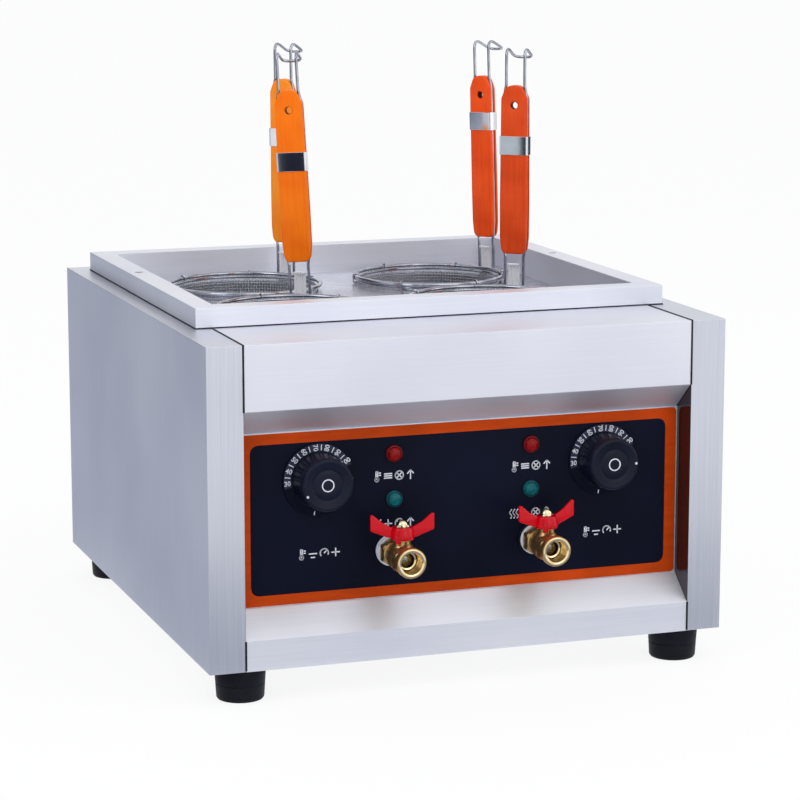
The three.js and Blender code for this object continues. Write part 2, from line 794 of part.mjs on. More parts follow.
// Pilot lamp: bezel, domed lens and the tail through the panel
function pilotLamp() {
  const back = panel_face_y - seat_gap;
  const front = back - lamp_bezel_thickness;
  const lens = lamp_lens_diameter / 2;
  return turnedAlongY([
    [0, back + lamp_tail_length],
    [lamp_tail_diameter / 2, back + lamp_tail_length],
    [lamp_tail_diameter / 2, back],
    [lamp_bezel_diameter / 2, back],
    [lamp_bezel_diameter / 2, front + lamp_bezel_thickness / 3],
    [lamp_bezel_diameter / 2 - lamp_bezel_thickness / 3, front],
    [lens, front],
    [lens * Math.SQRT1_2, front - lamp_dome * Math.SQRT1_2],
    [0, front - lamp_dome],
  ], small_facets);
}

// Ball valve, drawn about its stem with the flow along Y and the outlet to the front
const inlet = stem_from_inlet;
const outlet = stem_from_inlet - valve_length;
const lever_base = neck_height + seat_gap;
const stem_height = lever_base + lever_hub_height + nut_bore_depth;

function valveBody() {
  const chamfered = turnedAlongY([
    [0, inlet],
    [valve_hex / 2, inlet],
    [valve_end_diameter / 2, inlet - valve_end_diameter / 2 + valve_hex / 2],
    [valve_end_diameter / 2, inlet - valve_hex_length],
    [0, inlet - valve_hex_length],
  ], pipe_facets);
  const hex_at = (y) => hexBar(at(0, y, 0), at(0, y + valve_hex_length, 0), valve_hex);
  const inlet_hex = hex_at(inlet - valve_hex_length).intersect(chamfered);
  const outlet_hex = hex_at(outlet + valve_end_length);
  const lip = (valve_end_diameter - valve_hex) / 2;
  const barrel = valve_barrel_diameter / 2;
  const waist = valve_waist_diameter / 2;
  const spine = turnedAlongY([
    [0, inlet],
    [waist, inlet],
    [waist, barrel],
    [barrel * barrel_radius_share, barrel * barrel_length_share],
    [barrel, 0],
    [barrel * barrel_radius_share, -barrel * barrel_length_share],
    [waist, -barrel],
    [waist, outlet + valve_end_length],
    [valve_end_diameter / 2, outlet + valve_end_length],
    [valve_end_diameter / 2, outlet + lip],
    [valve_end_diameter / 2 - lip, outlet],
    [0, outlet],
  ], pipe_facets);
  const neck = bar(at(0, 0, 0), at(0, 0, neck_height), neck_diameter, pipe_facets);
  const pin_angle = THREE.MathUtils.degToRad(stop_pin_angle);
  const pin_x = stop_radius * Math.cos(pin_angle);
  const pin_y = stop_radius * Math.sin(pin_angle);
  const pin = bar(at(pin_x, pin_y, 0), at(pin_x, pin_y, stop_pin_rise), stop_pin_diameter);
  const outside = joined(spine, inlet_hex, outlet_hex, neck, pin);
  const facet_reach = Math.cos(Math.PI / ball_facets) ** 2;
  const cavity_radius = (ball_diameter / 2 + seat_gap) / facet_reach;
  const cavity = new THREE.SphereGeometry(cavity_radius, ball_facets, ball_facets / 2);
  const bores = turnedAlongY([
    [0, inlet + cut_overrun],
    [pipe_diameter / 2 + seat_gap, inlet + cut_overrun],
    [pipe_diameter / 2 + seat_gap, inlet - valve_inlet_depth],
    [valve_port / 2, inlet - valve_inlet_depth],
    [valve_port / 2, outlet + valve_outlet_depth],
    [valve_outlet_bore / 2, outlet + valve_outlet_depth],
    [valve_outlet_bore / 2, outlet - cut_overrun],
    [0, outlet - cut_overrun],
  ], pipe_facets);
  const stem_hole_end = at(0, 0, neck_height + cut_overrun);
  const stem_hole = bar(at(0, 0, 0), stem_hole_end, stem_diameter + 4 * seat_gap);
  return outside.subtract(solid(cavity)).subtract(bores).subtract(stem_hole);
}

function valveBall() {
  const ball = solid(new THREE.SphereGeometry(ball_diameter / 2, ball_facets, ball_facets / 2));
  const stem = bar(at(0, 0, 0), at(0, 0, stem_height), stem_diameter);
  const bore_end = ball_diameter / 2 + cut_overrun;
  return ball.add(stem).subtract(bar(at(-bore_end, 0, 0), at(bore_end, 0, 0), ball_bore));
}

// Butterfly lever: a hub with two upright wings and two stop lugs underneath
function valveLever() {
  const hub_top = lever_base + lever_hub_height;
  const hub = bar(at(0, 0, lever_base), at(0, 0, hub_top), lever_hub_diameter, round_facets);
  const wing = new THREE.Shape([
    new THREE.Vector2(lever_root, lever_base),
    new THREE.Vector2(lever_root + lever_root_height / 2, lever_base),
    new THREE.Vector2(lever_span / 2, lever_base + lever_tip_lift),
    new THREE.Vector2(lever_span / 2, lever_base + lever_tip_top),
    new THREE.Vector2(lever_span / 2 - lever_plate, lever_base + lever_tip_top),
    new THREE.Vector2(lever_root, lever_base + lever_root_height),
  ]);
  const plate = [-lever_plate / 2, lever_plate / 2];
  const right = drawnAlongY(wing, plate);
  const left = right.rotate([0, 0, 180]);
  let lever = joined(hub, right, left);
  for (const degrees of lever_lug_angles) {
    const inner = neck_diameter / 2 + seat_gap;
    const across = [-lever_lug_width / 2, lever_lug_width / 2];
    const lug = block([inner, lever_hub_diameter / 2], across, [lever_base - lever_lug_drop, hub_top]);
    lever = lever.add(lug.rotate([0, 0, degrees]));
  }
  const through = [at(0, 0, lever_base - cut_overrun), at(0, 0, hub_top + cut_overrun)];
  return lever.subtract(bar(...through, stem_diameter + 2 * seat_gap));
}

function domeNut() {
  const base = lever_base + lever_hub_height + seat_gap;
  const top = base + nut_hex_height;
  const corner = nut_flats / 2;
  const hex = hexBar(at(0, 0, base), at(0, 0, top), nut_flats);
  const dome = turnedAlongZ([
    [0, top - sheet],
    [corner, top - sheet],
    [corner, top],
    [corner * Math.SQRT1_2, top + nut_dome * Math.SQRT1_2],
    [0, top + nut_dome],
  ], small_facets);
  const bore_end = at(0, 0, base + nut_bore_depth);
  const bore = bar(at(0, 0, base - cut_overrun), bore_end, stem_diameter + 2 * seat_gap);
  return hex.add(dome).subtract(bore);
}

// Flat ring about the valve's axis, from its back face and thickness
function flatRing(back, thickness, diameter, bore) {
  return turnedAlongY([
    [bore / 2, back],
    [diameter / 2, back],
    [diameter / 2, back - thickness],
    [bore / 2, back - thickness],
    [bore / 2, back],
  ], pipe_facets);
}

// Basket frame, drawn about the ring's centre with the handle towards +X
const ring_z = deck_top + ring_height;
const stub_z = seat_gap - ring_height;
const wire_foot_z = stub_z + handle_wire / 2;
const ring_radius = ring_diameter / 2;
const handle_x = ring_radius + ring_wire / 4;
const grip_top = grip_bottom + grip_length;

// The handle's own turn and lean about its foot on the ring
function handleStance({ twist, lean }) {
  const there = new THREE.Matrix4().makeTranslation(handle_x, 0, 0);
  const back = new THREE.Matrix4().makeTranslation(-handle_x, 0, 0);
  const turn = new THREE.Matrix4().makeRotationZ(THREE.MathUtils.degToRad(twist));
  const tilt = new THREE.Matrix4().makeRotationX(-THREE.MathUtils.degToRad(lean));
  return there.multiply(turn).multiply(tilt).multiply(back);
}

function basketFrame(stance) {
  const own = handleStance(stance);
  const upright = handleStance({ twist: stance.twist, lean: 0 });
  const turned = (x, y, z) => at(x, y, z).applyMatrix4(upright);
  const leaned = (x, y, z) => at(x, y, z).applyMatrix4(own);
  const near = handle_wire_spread / 2;
  const wide = grip_wire_spread / 2;
  const tip_x = handle_x + hook_reach;
  const peak = grip_top + hook_rise;
  const side = (sign) => [
    turned(handle_x, sign * near, wire_foot_z),
    turned(handle_x, sign * near, ring_wire),
    leaned(handle_x, sign * near, grip_bottom - wire_bend),
    leaned(handle_x, sign * wide, grip_bottom + grip_heel),
    leaned(handle_x, sign * wide, grip_top - grip_shoulder),
    leaned(handle_x, sign * near, grip_top),
    leaned(handle_x, sign * near, peak),
    leaned(tip_x, sign * near, peak - hook_drop),
  ];
  const loop = wire([...side(-1), ...side(1).reverse()], handle_wire, hook_bend);
  const foot_from = turned(handle_x, -near, wire_foot_z);
  const foot = bar(foot_from, turned(handle_x, near, wire_foot_z), handle_wire, wire_facets);
  let whole = joined(ring(ring_diameter, ring_wire), loop, foot);
  for (let i = 0; i < clip_count; i += 1) {
    const angle = 2 * Math.PI * (i + 1 / 2) / clip_count;
    const x = ring_radius * Math.cos(angle);
    const y = ring_radius * Math.sin(angle);
    const clip_top = at(x, y, (ring_wire + clip_wire) / 2);
    whole = whole.add(bar(at(x, y, stub_z), clip_top, clip_wire, thin_wire_facets));
  }
  const plate_line = [
    [handle_x - rest_plate_fold, rest_plate_height],
    [handle_x, rest_plate_height],
    [handle_x, 0],
  ];
  const plate_shape = foldedOutline(plate_line, -sheet);
  const plate = drawnAlongY(plate_shape, [-rest_plate_width / 2, rest_plate_width / 2]);
  return whole.add(plate.transform(upright.elements));
}

// Strainer bowl: tapered wall and a round bottom, open at the top
function bowlProfile(inset) {
  const top_radius = (ring_diameter - ring_wire) / 2 - seat_gap - inset;
  const wall_end = top_radius - bowl_taper;
  const bottom = -(bowl_depth - inset);
  const points = [[top_radius, 0], [wall_end, bottom + bowl_round]];
  for (let i = 1; i <= bowl_steps; i += 1) {
    const angle = i / bowl_steps * Math.PI / 2;
    points.push([wall_end * Math.cos(angle), bottom + bowl_round * (1 - Math.sin(angle))]);
  }
  points.at(-1)[0] = 0;
  return points;
}

function basketBowl() {
  return turnedAlongZ([...bowlProfile(0).reverse(), ...bowlProfile(bowl_wall)], fine_facets);
}

// Grip: a flat paddle with a slot along each edge for the handle wires
function gripOutline() {
  const shape = new THREE.Shape();
  const half_top = grip_top_width / 2;
  const half = grip_width / 2;
  const half_wide = grip_wide_width / 2;
  const half_bottom = grip_bottom_width / 2;
  shape.moveTo(-half_bottom, grip_bottom);
  shape.lineTo(half_bottom, grip_bottom);
  const heel = [half_wide - grip_edge_round / 4, grip_bottom + grip_heel];
  const heel_pull = [half_wide - grip_edge_round, grip_bottom + grip_edge_round];
  shape.quadraticCurveTo(...heel_pull, ...heel);
  shape.lineTo(half_wide, grip_bottom + grip_wide_from_bottom);
  shape.lineTo(half, grip_top - grip_shoulder);
  shape.lineTo(half_top, grip_top - grip_crown);
  shape.quadraticCurveTo(0, grip_top + grip_crown, -half_top, grip_top - grip_crown);
  shape.lineTo(-half, grip_top - grip_shoulder);
  shape.lineTo(-half_wide, grip_bottom + grip_wide_from_bottom);
  shape.lineTo(-heel[0], heel[1]);
  shape.quadraticCurveTo(-heel_pull[0], heel_pull[1], -half_bottom, grip_bottom);
  return shape;
}

function grip() {
  const settings = {
    depth: grip_thickness - 2 * grip_edge_round,
    curveSegments: corner_steps,
    bevelSize: grip_edge_round,
    bevelOffset: -grip_edge_round,
    bevelThickness: grip_edge_round,
    bevelSegments: 1,
  };
  const paddle_geometry = new THREE.ExtrudeGeometry(gripOutline(), settings);
  paddle_geometry.translate(0, 0, grip_edge_round - grip_thickness / 2);
  paddle_geometry.rotateX(Math.PI / 2).rotateZ(Math.PI / 2).translate(handle_x, 0, 0);
  let paddle = solid(paddle_geometry);
  const hole_z = grip_top - grip_hole_from_top;
  const hole_end = grip_thickness / 2 + cut_overrun;
  const hole_from = at(handle_x - hole_end, 0, hole_z);
  paddle = paddle.subtract(bar(hole_from, at(handle_x + hole_end, 0, hole_z), grip_hole_diameter));
  const wire_side = handle_wire / 2 + seat_gap;
  const narrow = handle_wire_spread / 2 - wire_side;
  const wide = grip_wire_spread / 2 - wire_side;
  const out = grip_wide_width;
  const slot = new THREE.Shape([
    new THREE.Vector2(narrow, grip_bottom - wire_bend),
    new THREE.Vector2(out, grip_bottom - wire_bend),
    new THREE.Vector2(out, grip_top + wire_bend),
    new THREE.Vector2(narrow, grip_top + wire_bend),
    new THREE.Vector2(narrow, grip_top),
    new THREE.Vector2(wide, grip_top - grip_shoulder),
    new THREE.Vector2(wide, grip_bottom + grip_heel),
  ]);
  const cutter_geometry = new THREE.ExtrudeGeometry(slot, { depth: 2 * wire_side, bevelEnabled: false });
  cutter_geometry.translate(0, 0, -wire_side).rotateX(Math.PI / 2).rotateZ(Math.PI / 2);
  cutter_geometry.translate(handle_x, 0, 0);
  const cutter = solid(cutter_geometry);
  return paddle.subtract(cutter).subtract(cutter.mirror([0, 1, 0]));
}

function ferrule(drop_share) {
  const top = grip_top - drop_share * grip_length;
  const taper_from = grip_bottom + grip_wide_from_bottom;
  const along = (top - ferrule_height - taper_from) / (grip_top - grip_shoulder - taper_from);
  const width = THREE.MathUtils.lerp(grip_wide_width, grip_width, along) / 2 + seat_gap;
  const depth = grip_thickness / 2 + seat_gap;
  const outer_width = width + ferrule_sheet;
  const outer_depth = depth + ferrule_sheet;
  const outer_across = [handle_x - outer_depth, handle_x + outer_depth];
  const band = roundedRectangle(outer_across, [-outer_width, outer_width], grip_edge_round + ferrule_sheet);
  const hollow = roundedRectangle([handle_x - depth, handle_x + depth], [-width, width], grip_edge_round);
  const inside = drawnAlongZ(hollow, [top - ferrule_height - cut_overrun, top + cut_overrun]);
  return drawnAlongZ(band, [top - ferrule_height, top]).subtract(inside);
}

// Foot: a rubber cone frustum with its stud through the tray
function foot() {
  const top = foot_top_diameter / 2;
  const bottom = foot_bottom_diameter / 2;
  return turnedAlongZ([
    [0, -foot_height],
    [bottom - foot_edge, -foot_height],
    [bottom, foot_edge - foot_height],
    [top, -seat_gap],
    [foot_stud_diameter / 2, -seat_gap],
    [foot_stud_diameter / 2, foot_stud_length],
    [0, foot_stud_length],
  ], ball_facets);
}

// Cable gland in the rear panel: cap and hexagon outside, locknut inside
function cableGland() {
  const outside = back_y + seat_gap;
  const inside = back_y - sheet - seat_gap;
  const thread_from = inside - gland_locknut_length;
  const thread = bar(at(0, thread_from, 0), at(0, outside, 0), gland_thread_diameter, round_facets);
  const hex = hexBar(at(0, outside, 0), at(0, outside + gland_hex_length, 0), gland_hex);
  const locknut = hexBar(at(0, thread_from, 0), at(0, inside, 0), gland_hex);
  const cap_end = outside + gland_hex_length + gland_cap_length;
  const cap_ends = [at(0, cap_end - gland_cap_length, 0), at(0, cap_end, 0)];
  const cap = bar(...cap_ends, gland_cap_diameter, round_facets, gland_cap_end_diameter);
  const bore = bar(at(0, thread_from - cut_overrun, 0), at(0, cap_end + cut_overrun, 0), gland_bore);
  return joined(thread, hex, locknut, cap).subtract(bore);
}

// Terminal block on the tray: stepped ceramic body with screw wells
function terminalBlock() {
  const base = sheet + seat_gap;
  const half = block_depth / 2;
  const profile = new THREE.Shape([
    new THREE.Vector2(-half, base),
    new THREE.Vector2(half, base),
    new THREE.Vector2(half, base + block_base_height),
    new THREE.Vector2(half - block_shoulder, base + block_base_height),
    new THREE.Vector2(half - block_shoulder, base + block_height),
    new THREE.Vector2(-half + block_shoulder, base + block_height),
    new THREE.Vector2(-half + block_shoulder, base + block_base_height),
    new THREE.Vector2(-half, base + block_base_height),
  ]);
  let made = drawnAlongX(profile, [-block_width / 2, block_width / 2]);
  const top = base + block_height;
  for (let i = 0; i < block_poles; i += 1) {
    const x = block_width * ((i + 1 / 2) / block_poles - 1 / 2);
    const well_floor = at(x, 0, top - block_well_depth);
    made = made.subtract(bar(well_floor, at(x, 0, top + cut_overrun), block_well_diameter));
  }
  return made;
}

// Assembly
function placed(x, y, z, parent = body) {
  const group = new THREE.Group();
  group.position.set(x, y, z);
  parent.add(group);
  return group;
}

piece(body, 'base_tray', baseTray(), dark_steel);
piece(body, 'left_side_panel', sidePanel(-1), steel);
piece(body, 'right_side_panel', sidePanel(1), steel);
piece(body, 'rear_panel', rearPanel(), steel);
piece(body, 'front_fascia', frontFascia(), steel);
piece(body, 'control_panel', controlPanel(), steel);
piece(body, 'panel_overlay', panelOverlay(), navy_print);
piece(body, 'tank_rim', tankRim(), steel);
piece(body, 'basket_deck', basketDeck(), steel);

for (const [side, sign] of [['left', -1], ['right', 1]]) {
  piece(body, `tank_${side}`, boilingTank(sign), dark_steel);
  piece(body, `heating_element_${side}`, heatingElement(sign), dark_steel);
  piece(body, `thermostat_${side}`, thermostat(sign), dark_steel);
  const drain = placed(sign * valve_x, 0, valve_z);
  const pipe_hole = pipe_diameter + 2 * seat_gap;
  piece(drain, `drain_pipe_${side}`, drainPipe(), dark_steel);
  const gasket = flatRing(gasket_y, gasket_thickness, gasket_diameter, pipe_hole);
  const washer = flatRing(washer_y, washer_thickness, washer_diameter, pipe_hole);
  piece(drain, `valve_gasket_${side}`, gasket, black_rubber);
  piece(drain, `valve_washer_${side}`, washer, white_plastic);
  const dial = placed(sign * dial_x, 0, dial_z);
  piece(dial, `dial_${side}`, dialPlate(), black_plastic);
  piece(dial, `knob_${side}`, knob(), black_plastic);
  piece(placed(sign * lamp_x, 0, lamp_upper_z), `red_lamp_${side}`, pilotLamp(), red_lens);
  piece(placed(sign * lamp_x, 0, lamp_lower_z), `green_lamp_${side}`, pilotLamp(), green_lens);
  const valve = placed(sign * valve_x, valve_inlet_y - stem_from_inlet, valve_z);
  piece(valve, `valve_body_${side}`, valveBody(), brass);
  const turned = placed(0, 0, 0, valve);
  turned.rotation.z = THREE.MathUtils.degToRad(lever_turns[side]);
  piece(turned, `valve_ball_${side}`, valveBall(), polished_steel);
  piece(turned, `valve_lever_${side}`, valveLever(), red_vinyl);
  piece(turned, `valve_nut_${side}`, domeNut(), brass);
}

for (const [name, stance] of Object.entries(basket_stances)) {
  const [x, y] = basketPlace(stance);
  const basket = placed(x, y, ring_z);
  basket.rotation.z = THREE.MathUtils.degToRad(stance.direction);
  piece(basket, `basket_bowl_${name}`, basketBowl(), polished_steel);
  piece(basket, `basket_frame_${name}`, basketFrame(stance), polished_steel);
  const handle = placed(0, 0, 0, basket);
  handle.applyMatrix4(handleStance(stance));
  piece(handle, `grip_${name}`, grip(), { color: stance.paint, roughness: 0.35, metalness: 0 });
  piece(handle, `ferrule_${name}`, ferrule(ferrule_drop_shares[name]), polished_steel);
}

for (const [name, place] of Object.entries(footPlaces())) {
  piece(placed(place.x, place.y, 0), `foot_${name}`, foot(), black_rubber);
}
piece(placed(gland_x, 0, gland_z), 'cable_gland', cableGland(), black_plastic);
piece(placed(gland_x, back_y - block_from_back, 0), 'terminal_block', terminalBlock(), ceramic);

export default cooker;
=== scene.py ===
import bmesh
import bpy
import math
from mathutils import Matrix, Vector


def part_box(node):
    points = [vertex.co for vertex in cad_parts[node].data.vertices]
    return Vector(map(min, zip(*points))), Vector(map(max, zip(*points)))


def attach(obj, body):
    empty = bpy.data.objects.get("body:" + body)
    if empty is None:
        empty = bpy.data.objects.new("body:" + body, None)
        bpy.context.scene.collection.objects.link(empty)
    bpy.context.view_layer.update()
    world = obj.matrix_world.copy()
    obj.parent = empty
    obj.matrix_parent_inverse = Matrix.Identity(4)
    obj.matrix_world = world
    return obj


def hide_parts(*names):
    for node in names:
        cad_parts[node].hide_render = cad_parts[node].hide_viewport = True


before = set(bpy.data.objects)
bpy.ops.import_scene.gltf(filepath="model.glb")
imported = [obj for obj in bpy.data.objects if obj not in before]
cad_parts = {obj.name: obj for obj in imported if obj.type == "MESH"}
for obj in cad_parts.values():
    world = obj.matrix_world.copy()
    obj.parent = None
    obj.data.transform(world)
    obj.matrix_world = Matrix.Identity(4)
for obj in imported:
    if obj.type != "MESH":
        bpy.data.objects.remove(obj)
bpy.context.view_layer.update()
scene = bpy.context.scene
scene.view_settings.view_transform = "Standard"

# The studio: a long lens 2.75 m away at the cooker's left front, looking ten degrees down. The cooker
# stands on a white paper sweep in a pale room, lit by the room and four soft boxes.
camera_place = Vector((-895.7, -2621.2, 731.7)) * 0.001
camera_target = Vector((0, -64.7, 230.3)) * 0.001
camera_data = bpy.data.cameras.new("camera")
camera_data.lens = 127.56
camera_data.sensor_width = 36


def put(name, data):
    """An object in the scene."""
    made = bpy.data.objects.new(name, data)
    scene.collection.objects.link(made)
    return made


def aim(thing, place, target):
    """Stands a lamp or the camera at a place and points it at a target."""
    thing.location = place
    thing.rotation_mode = "QUATERNION"
    thing.rotation_quaternion = (target - thing.location).to_track_quat("-Z", "Y")


camera = put("camera", camera_data)
aim(camera, camera_place, camera_target)
scene.camera = camera


def linear(colour):
    """An sRGB hex colour as the linear one that a socket takes."""
    shares = [int(colour[i:i + 2], 16) / 255 for i in (1, 3, 5)]
    return [c / 12.92 if c <= 0.04045 else ((c + 0.055) / 1.055) ** 2.4 for c in shares] + [1.0]


def add_node(tree, kind, sockets=None, **settings):
    """A shader node with its settings, and its sockets set or linked by name."""
    made = tree.nodes.new("ShaderNode" + kind)
    for name, value in settings.items():
        setattr(made, name, value)
    for name, value in (sockets or {}).items():
        if isinstance(value, bpy.types.NodeSocket):
            tree.links.new(value, made.inputs[name])
        else:
            made.inputs[name].default_value = value
    return made


def camera_sees(tree):
    """1 for what the camera, a mirror or a glass shows, 0 for what lights the cooker."""
    rays = add_node(tree, "LightPath")
    shown = add_node(tree, "Math", {0: rays.outputs["Is Camera Ray"], 1: rays.outputs["Is Glossy Ray"]},
                     operation="ADD")
    return add_node(tree, "Math", {0: shown.outputs[0], 1: rays.outputs["Is Transmission Ray"]},
                    operation="ADD", use_clamp=True).outputs[0]


room = bpy.data.worlds.new("studio_room")
scene.world = room
room.use_nodes = True
room.node_tree.nodes.clear()
soft_light = add_node(room.node_tree, "Background", {"Color": linear("#F5F6FB"), "Strength": 0.9})
backdrop = add_node(room.node_tree, "Background", {"Color": linear("#FFFFFF"), "Strength": 1.0})
walls = add_node(room.node_tree, "MixShader", {
    0: camera_sees(room.node_tree), 1: soft_light.outputs[0], 2: backdrop.outputs[0]})
add_node(room.node_tree, "OutputWorld", {"Surface": walls.outputs[0]})

# White paper: matt, and it keeps a part of the cooker's shadow.
paper_shadow_share = 0.14
paper = bpy.data.materials.new("white_paper_sweep")
paper.use_nodes = True
paper.node_tree.nodes.clear()
matt = add_node(paper.node_tree, "BsdfDiffuse", {"Color": linear("#FFFFFF")})
bright = add_node(paper.node_tree, "Emission", {"Color": linear("#FFFFFF"), "Strength": 1.0})
share = add_node(paper.node_tree, "Math", {0: camera_sees(paper.node_tree), 1: 1 - paper_shadow_share},
                 operation="MULTIPLY")
sweep_face = add_node(paper.node_tree, "MixShader", {
    0: share.outputs[0], 1: matt.outputs[0], 2: bright.outputs[0]})
add_node(paper.node_tree, "OutputMaterial", {"Surface": sweep_face.outputs[0]})

# The paper itself, and studio cards out of view that give the polished faces something to show: grey ones
# lying and standing about the left side and the front, and dark ones high at the left, at the front left,
# far behind and overhead. Only reflections see the cards. Their places are in metres.
on_paper = 0.002


def level(left, near, right, far, height=on_paper):
    """The corners of a level rectangle."""
    return (left, near, height), (right, near, height), (right, far, height), (left, far, height)


def standing(foot, end, low, high):
    """The corners of a card on edge, from one foot to the other."""
    return (*foot, low), (*end, low), (*end, high), (*foot, high)


cards = (
    ("paper_floor", None, level(-20, -20, 20, 20, 0)),
    ("grey_card_lying", "#B4B9C8", level(-1.9, -0.3, -0.27, 1.2)),
    ("grey_card_standing", "#B0B5C4", standing((-2.2, 0.5), (-0.3, 1.25), on_paper, 0.34)),
    ("dark_card_left_high", "#161922", standing((-2.2, 0.5), (-0.3, 1.25), 0.34, 1.2)),
    ("grey_card_front", "#9398AA", level(-0.6, -0.78, 0.9, -0.31)),
    ("dark_card_back_left", "#3C4050", standing((-1.3, 2.3), (-0.6, 2.5), on_paper, 1.3)),
    ("dark_card_back_right", "#3C4050", standing((2.35, 0.9), (2.2, 1.6), on_paper, 1.3)),
    ("grey_card_left", "#C4CDD0", standing((-2.4, -1.9), (-2.4, -0.6), on_paper, 1.0)),
    ("dark_card_overhead", "#1C2030", ((-1.4, 0.7, 1.7), (1.6, 0.7, 1.7), (1.6, 1.3, 2.3), (-1.4, 1.3, 2.3))),
    ("dark_card_standing", "#1C2030", standing((-1.22, -0.9), (-0.84, -1.22), on_paper, 0.9)),
)
for name, tone, corners in cards:
    flat = bpy.data.meshes.new(name)
    flat.from_pydata(corners, [], [(0, 1, 2, 3)])
    board = put(name, flat)
    if tone is None:
        flat.materials.append(paper)
        continue
    card = bpy.data.materials.new(name)
    card.use_nodes = True
    card.node_tree.nodes.clear()
    card_face = add_node(card.node_tree, "Emission", {"Color": linear(tone), "Strength": 1.0})
    add_node(card.node_tree, "OutputMaterial", {"Surface": card_face.outputs[0]})
    flat.materials.append(card)
    board.visible_camera = board.visible_diffuse = board.visible_shadow = board.visible_transmission = False

# Four soft boxes, in metres and watts: wide ones above and in front, a narrow one at the right and a high
# one at the left. All of them point at the middle of the cooker.
lit_middle = Vector((0, 0, 0.25))
for name, place, width, height, power in (
    ("soft_box_above", (0.6, -1.6, 2.4), 2.2, 1.6, 9),
    ("soft_box_front", (0.7, -3.0, 1.0), 1.6, 1.2, 6),
    ("soft_box_right", (2.4, -0.9, 1.1), 0.9, 1.6, 5),
    ("soft_box_left", (-2.3, -1.2, 1.9), 1.2, 1.2, 10),
):
    lamp = bpy.data.lights.new(name, "AREA")
    lamp.shape = "RECTANGLE"
    lamp.size = width
    lamp.size_y = height
    lamp.energy = power
    aim(put(name, lamp), place, lit_middle)

# The folded housing: 1.5 mm stainless sheet, satin brushed and bent on a press brake. Every fold keeps a
# small round, and the brushing runs one way on each panel.
fold_round = 0.5
same_corner = 0.01
flat_angle = 0.5
fold_angle = 32
grain_share = 0.35
tone_range = (0.35, 0.65)
grit_range = (0.3, 0.7)
grit_strength = 0.6


def surface(name, colour, second_colour, grain, metallic, rough, spread, relief, cloud=140, specular=0.5):
    """A finish of two tones in soft clouds, with a grain that moves its roughness and relief.
    In mm: the grain's size along X, Y and Z, the relief's height and the clouds' size."""
    material = bpy.data.materials.new(name)
    material.use_nodes = True
    tree = material.node_tree
    tree.nodes.clear()
    place = add_node(tree, "TexCoord")
    stretched = add_node(tree, "Mapping", {
        "Vector": place.outputs["Object"], "Scale": [1000 / g for g in grain]})
    fine = add_node(tree, "TexNoise", {"Vector": stretched.outputs[0], "Scale": 1.0, "Detail": 3.0})
    clouds = add_node(tree, "TexNoise", {
        "Vector": place.outputs["Object"], "Scale": 1000 / cloud, "Detail": 2.0})
    mixed = add_node(tree, "Mix", {
        "Factor": grain_share, "A": clouds.outputs["Fac"], "B": fine.outputs["Fac"]})
    toned = add_node(tree, "MapRange", {
        "Value": mixed.outputs["Result"], "From Min": tone_range[0], "From Max": tone_range[1]})
    tint = add_node(tree, "Mix", {
        "Factor": toned.outputs[0], "A": linear(second_colour), "B": linear(colour)}, data_type="RGBA")
    roughness = add_node(tree, "MapRange", {
        "Value": fine.outputs["Fac"], "From Min": grit_range[0], "From Max": grit_range[1],
        "To Min": rough - spread, "To Max": rough + spread})
    bump = add_node(tree, "Bump", {
        "Height": fine.outputs["Fac"], "Strength": grit_strength, "Distance": relief * 0.001})
    shader = add_node(tree, "BsdfPrincipled", {
        "Base Color": tint.outputs["Result"], "Metallic": metallic, "Roughness": roughness.outputs[0],
        "Specular IOR Level": specular, "Normal": bump.outputs[0]})
    add_node(tree, "OutputMaterial", {"Surface": shader.outputs[0]})
    return material


def dress(node, material, width=fold_round):
    """A CAD node in its finish, with its edges rounded by a modifier."""
    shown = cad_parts[node]
    shown.data.materials.clear()
    shown.data.materials.append(material)
    if "custom_normal" in shown.data.attributes:
        shown.data.attributes.remove(shown.data.attributes["custom_normal"])
    shown.data.shade_smooth()
    weld = shown.modifiers.new("weld", "WELD")
    weld.merge_threshold = same_corner * 0.001
    flat = shown.modifiers.new("flat_faces", "DECIMATE")
    flat.decimate_type = "DISSOLVE"
    flat.angle_limit = math.radians(flat_angle)
    bevel = shown.modifiers.new("edge_round", "BEVEL")
    bevel.width = width * 0.001
    bevel.segments = 2
    bevel.limit_method = "ANGLE"
    bevel.angle_limit = math.radians(fold_angle)
    bevel.harden_normals = True


# Satin stainless shows long fine scratches one way and soft clouds from handling. The scratches are drawn
# 0.9 mm apart, coarser than the real 0.2 mm, so that they show. Their grit also scatters a part of the
# light as a matt surface does, so they are a little less than fully metallic.
upright_sheet = surface("satin_stainless_upright", "#D7DAE2", "#C2C6D2", (0.9, 0.9, 90), 0.82, 0.38, 0.03,
                        0.006, cloud=240)
level_sheet = surface("satin_stainless_level", "#E0E2EB", "#D6D8E3", (90, 0.9, 0.9), 0.76, 0.46, 0.03, 0.006)
ledge_sheet = surface("satin_stainless_ledge", "#F0F2F8", "#E6E8F1", (90, 0.9, 0.9), 0.72, 0.46, 0.03, 0.006)
# The recess walls are painted dark and given a smooth face: painted shade.
recess_shade_tone = "#3E3840"
recess_wall_rough = 0.1
recess_shade_reach = 0.3


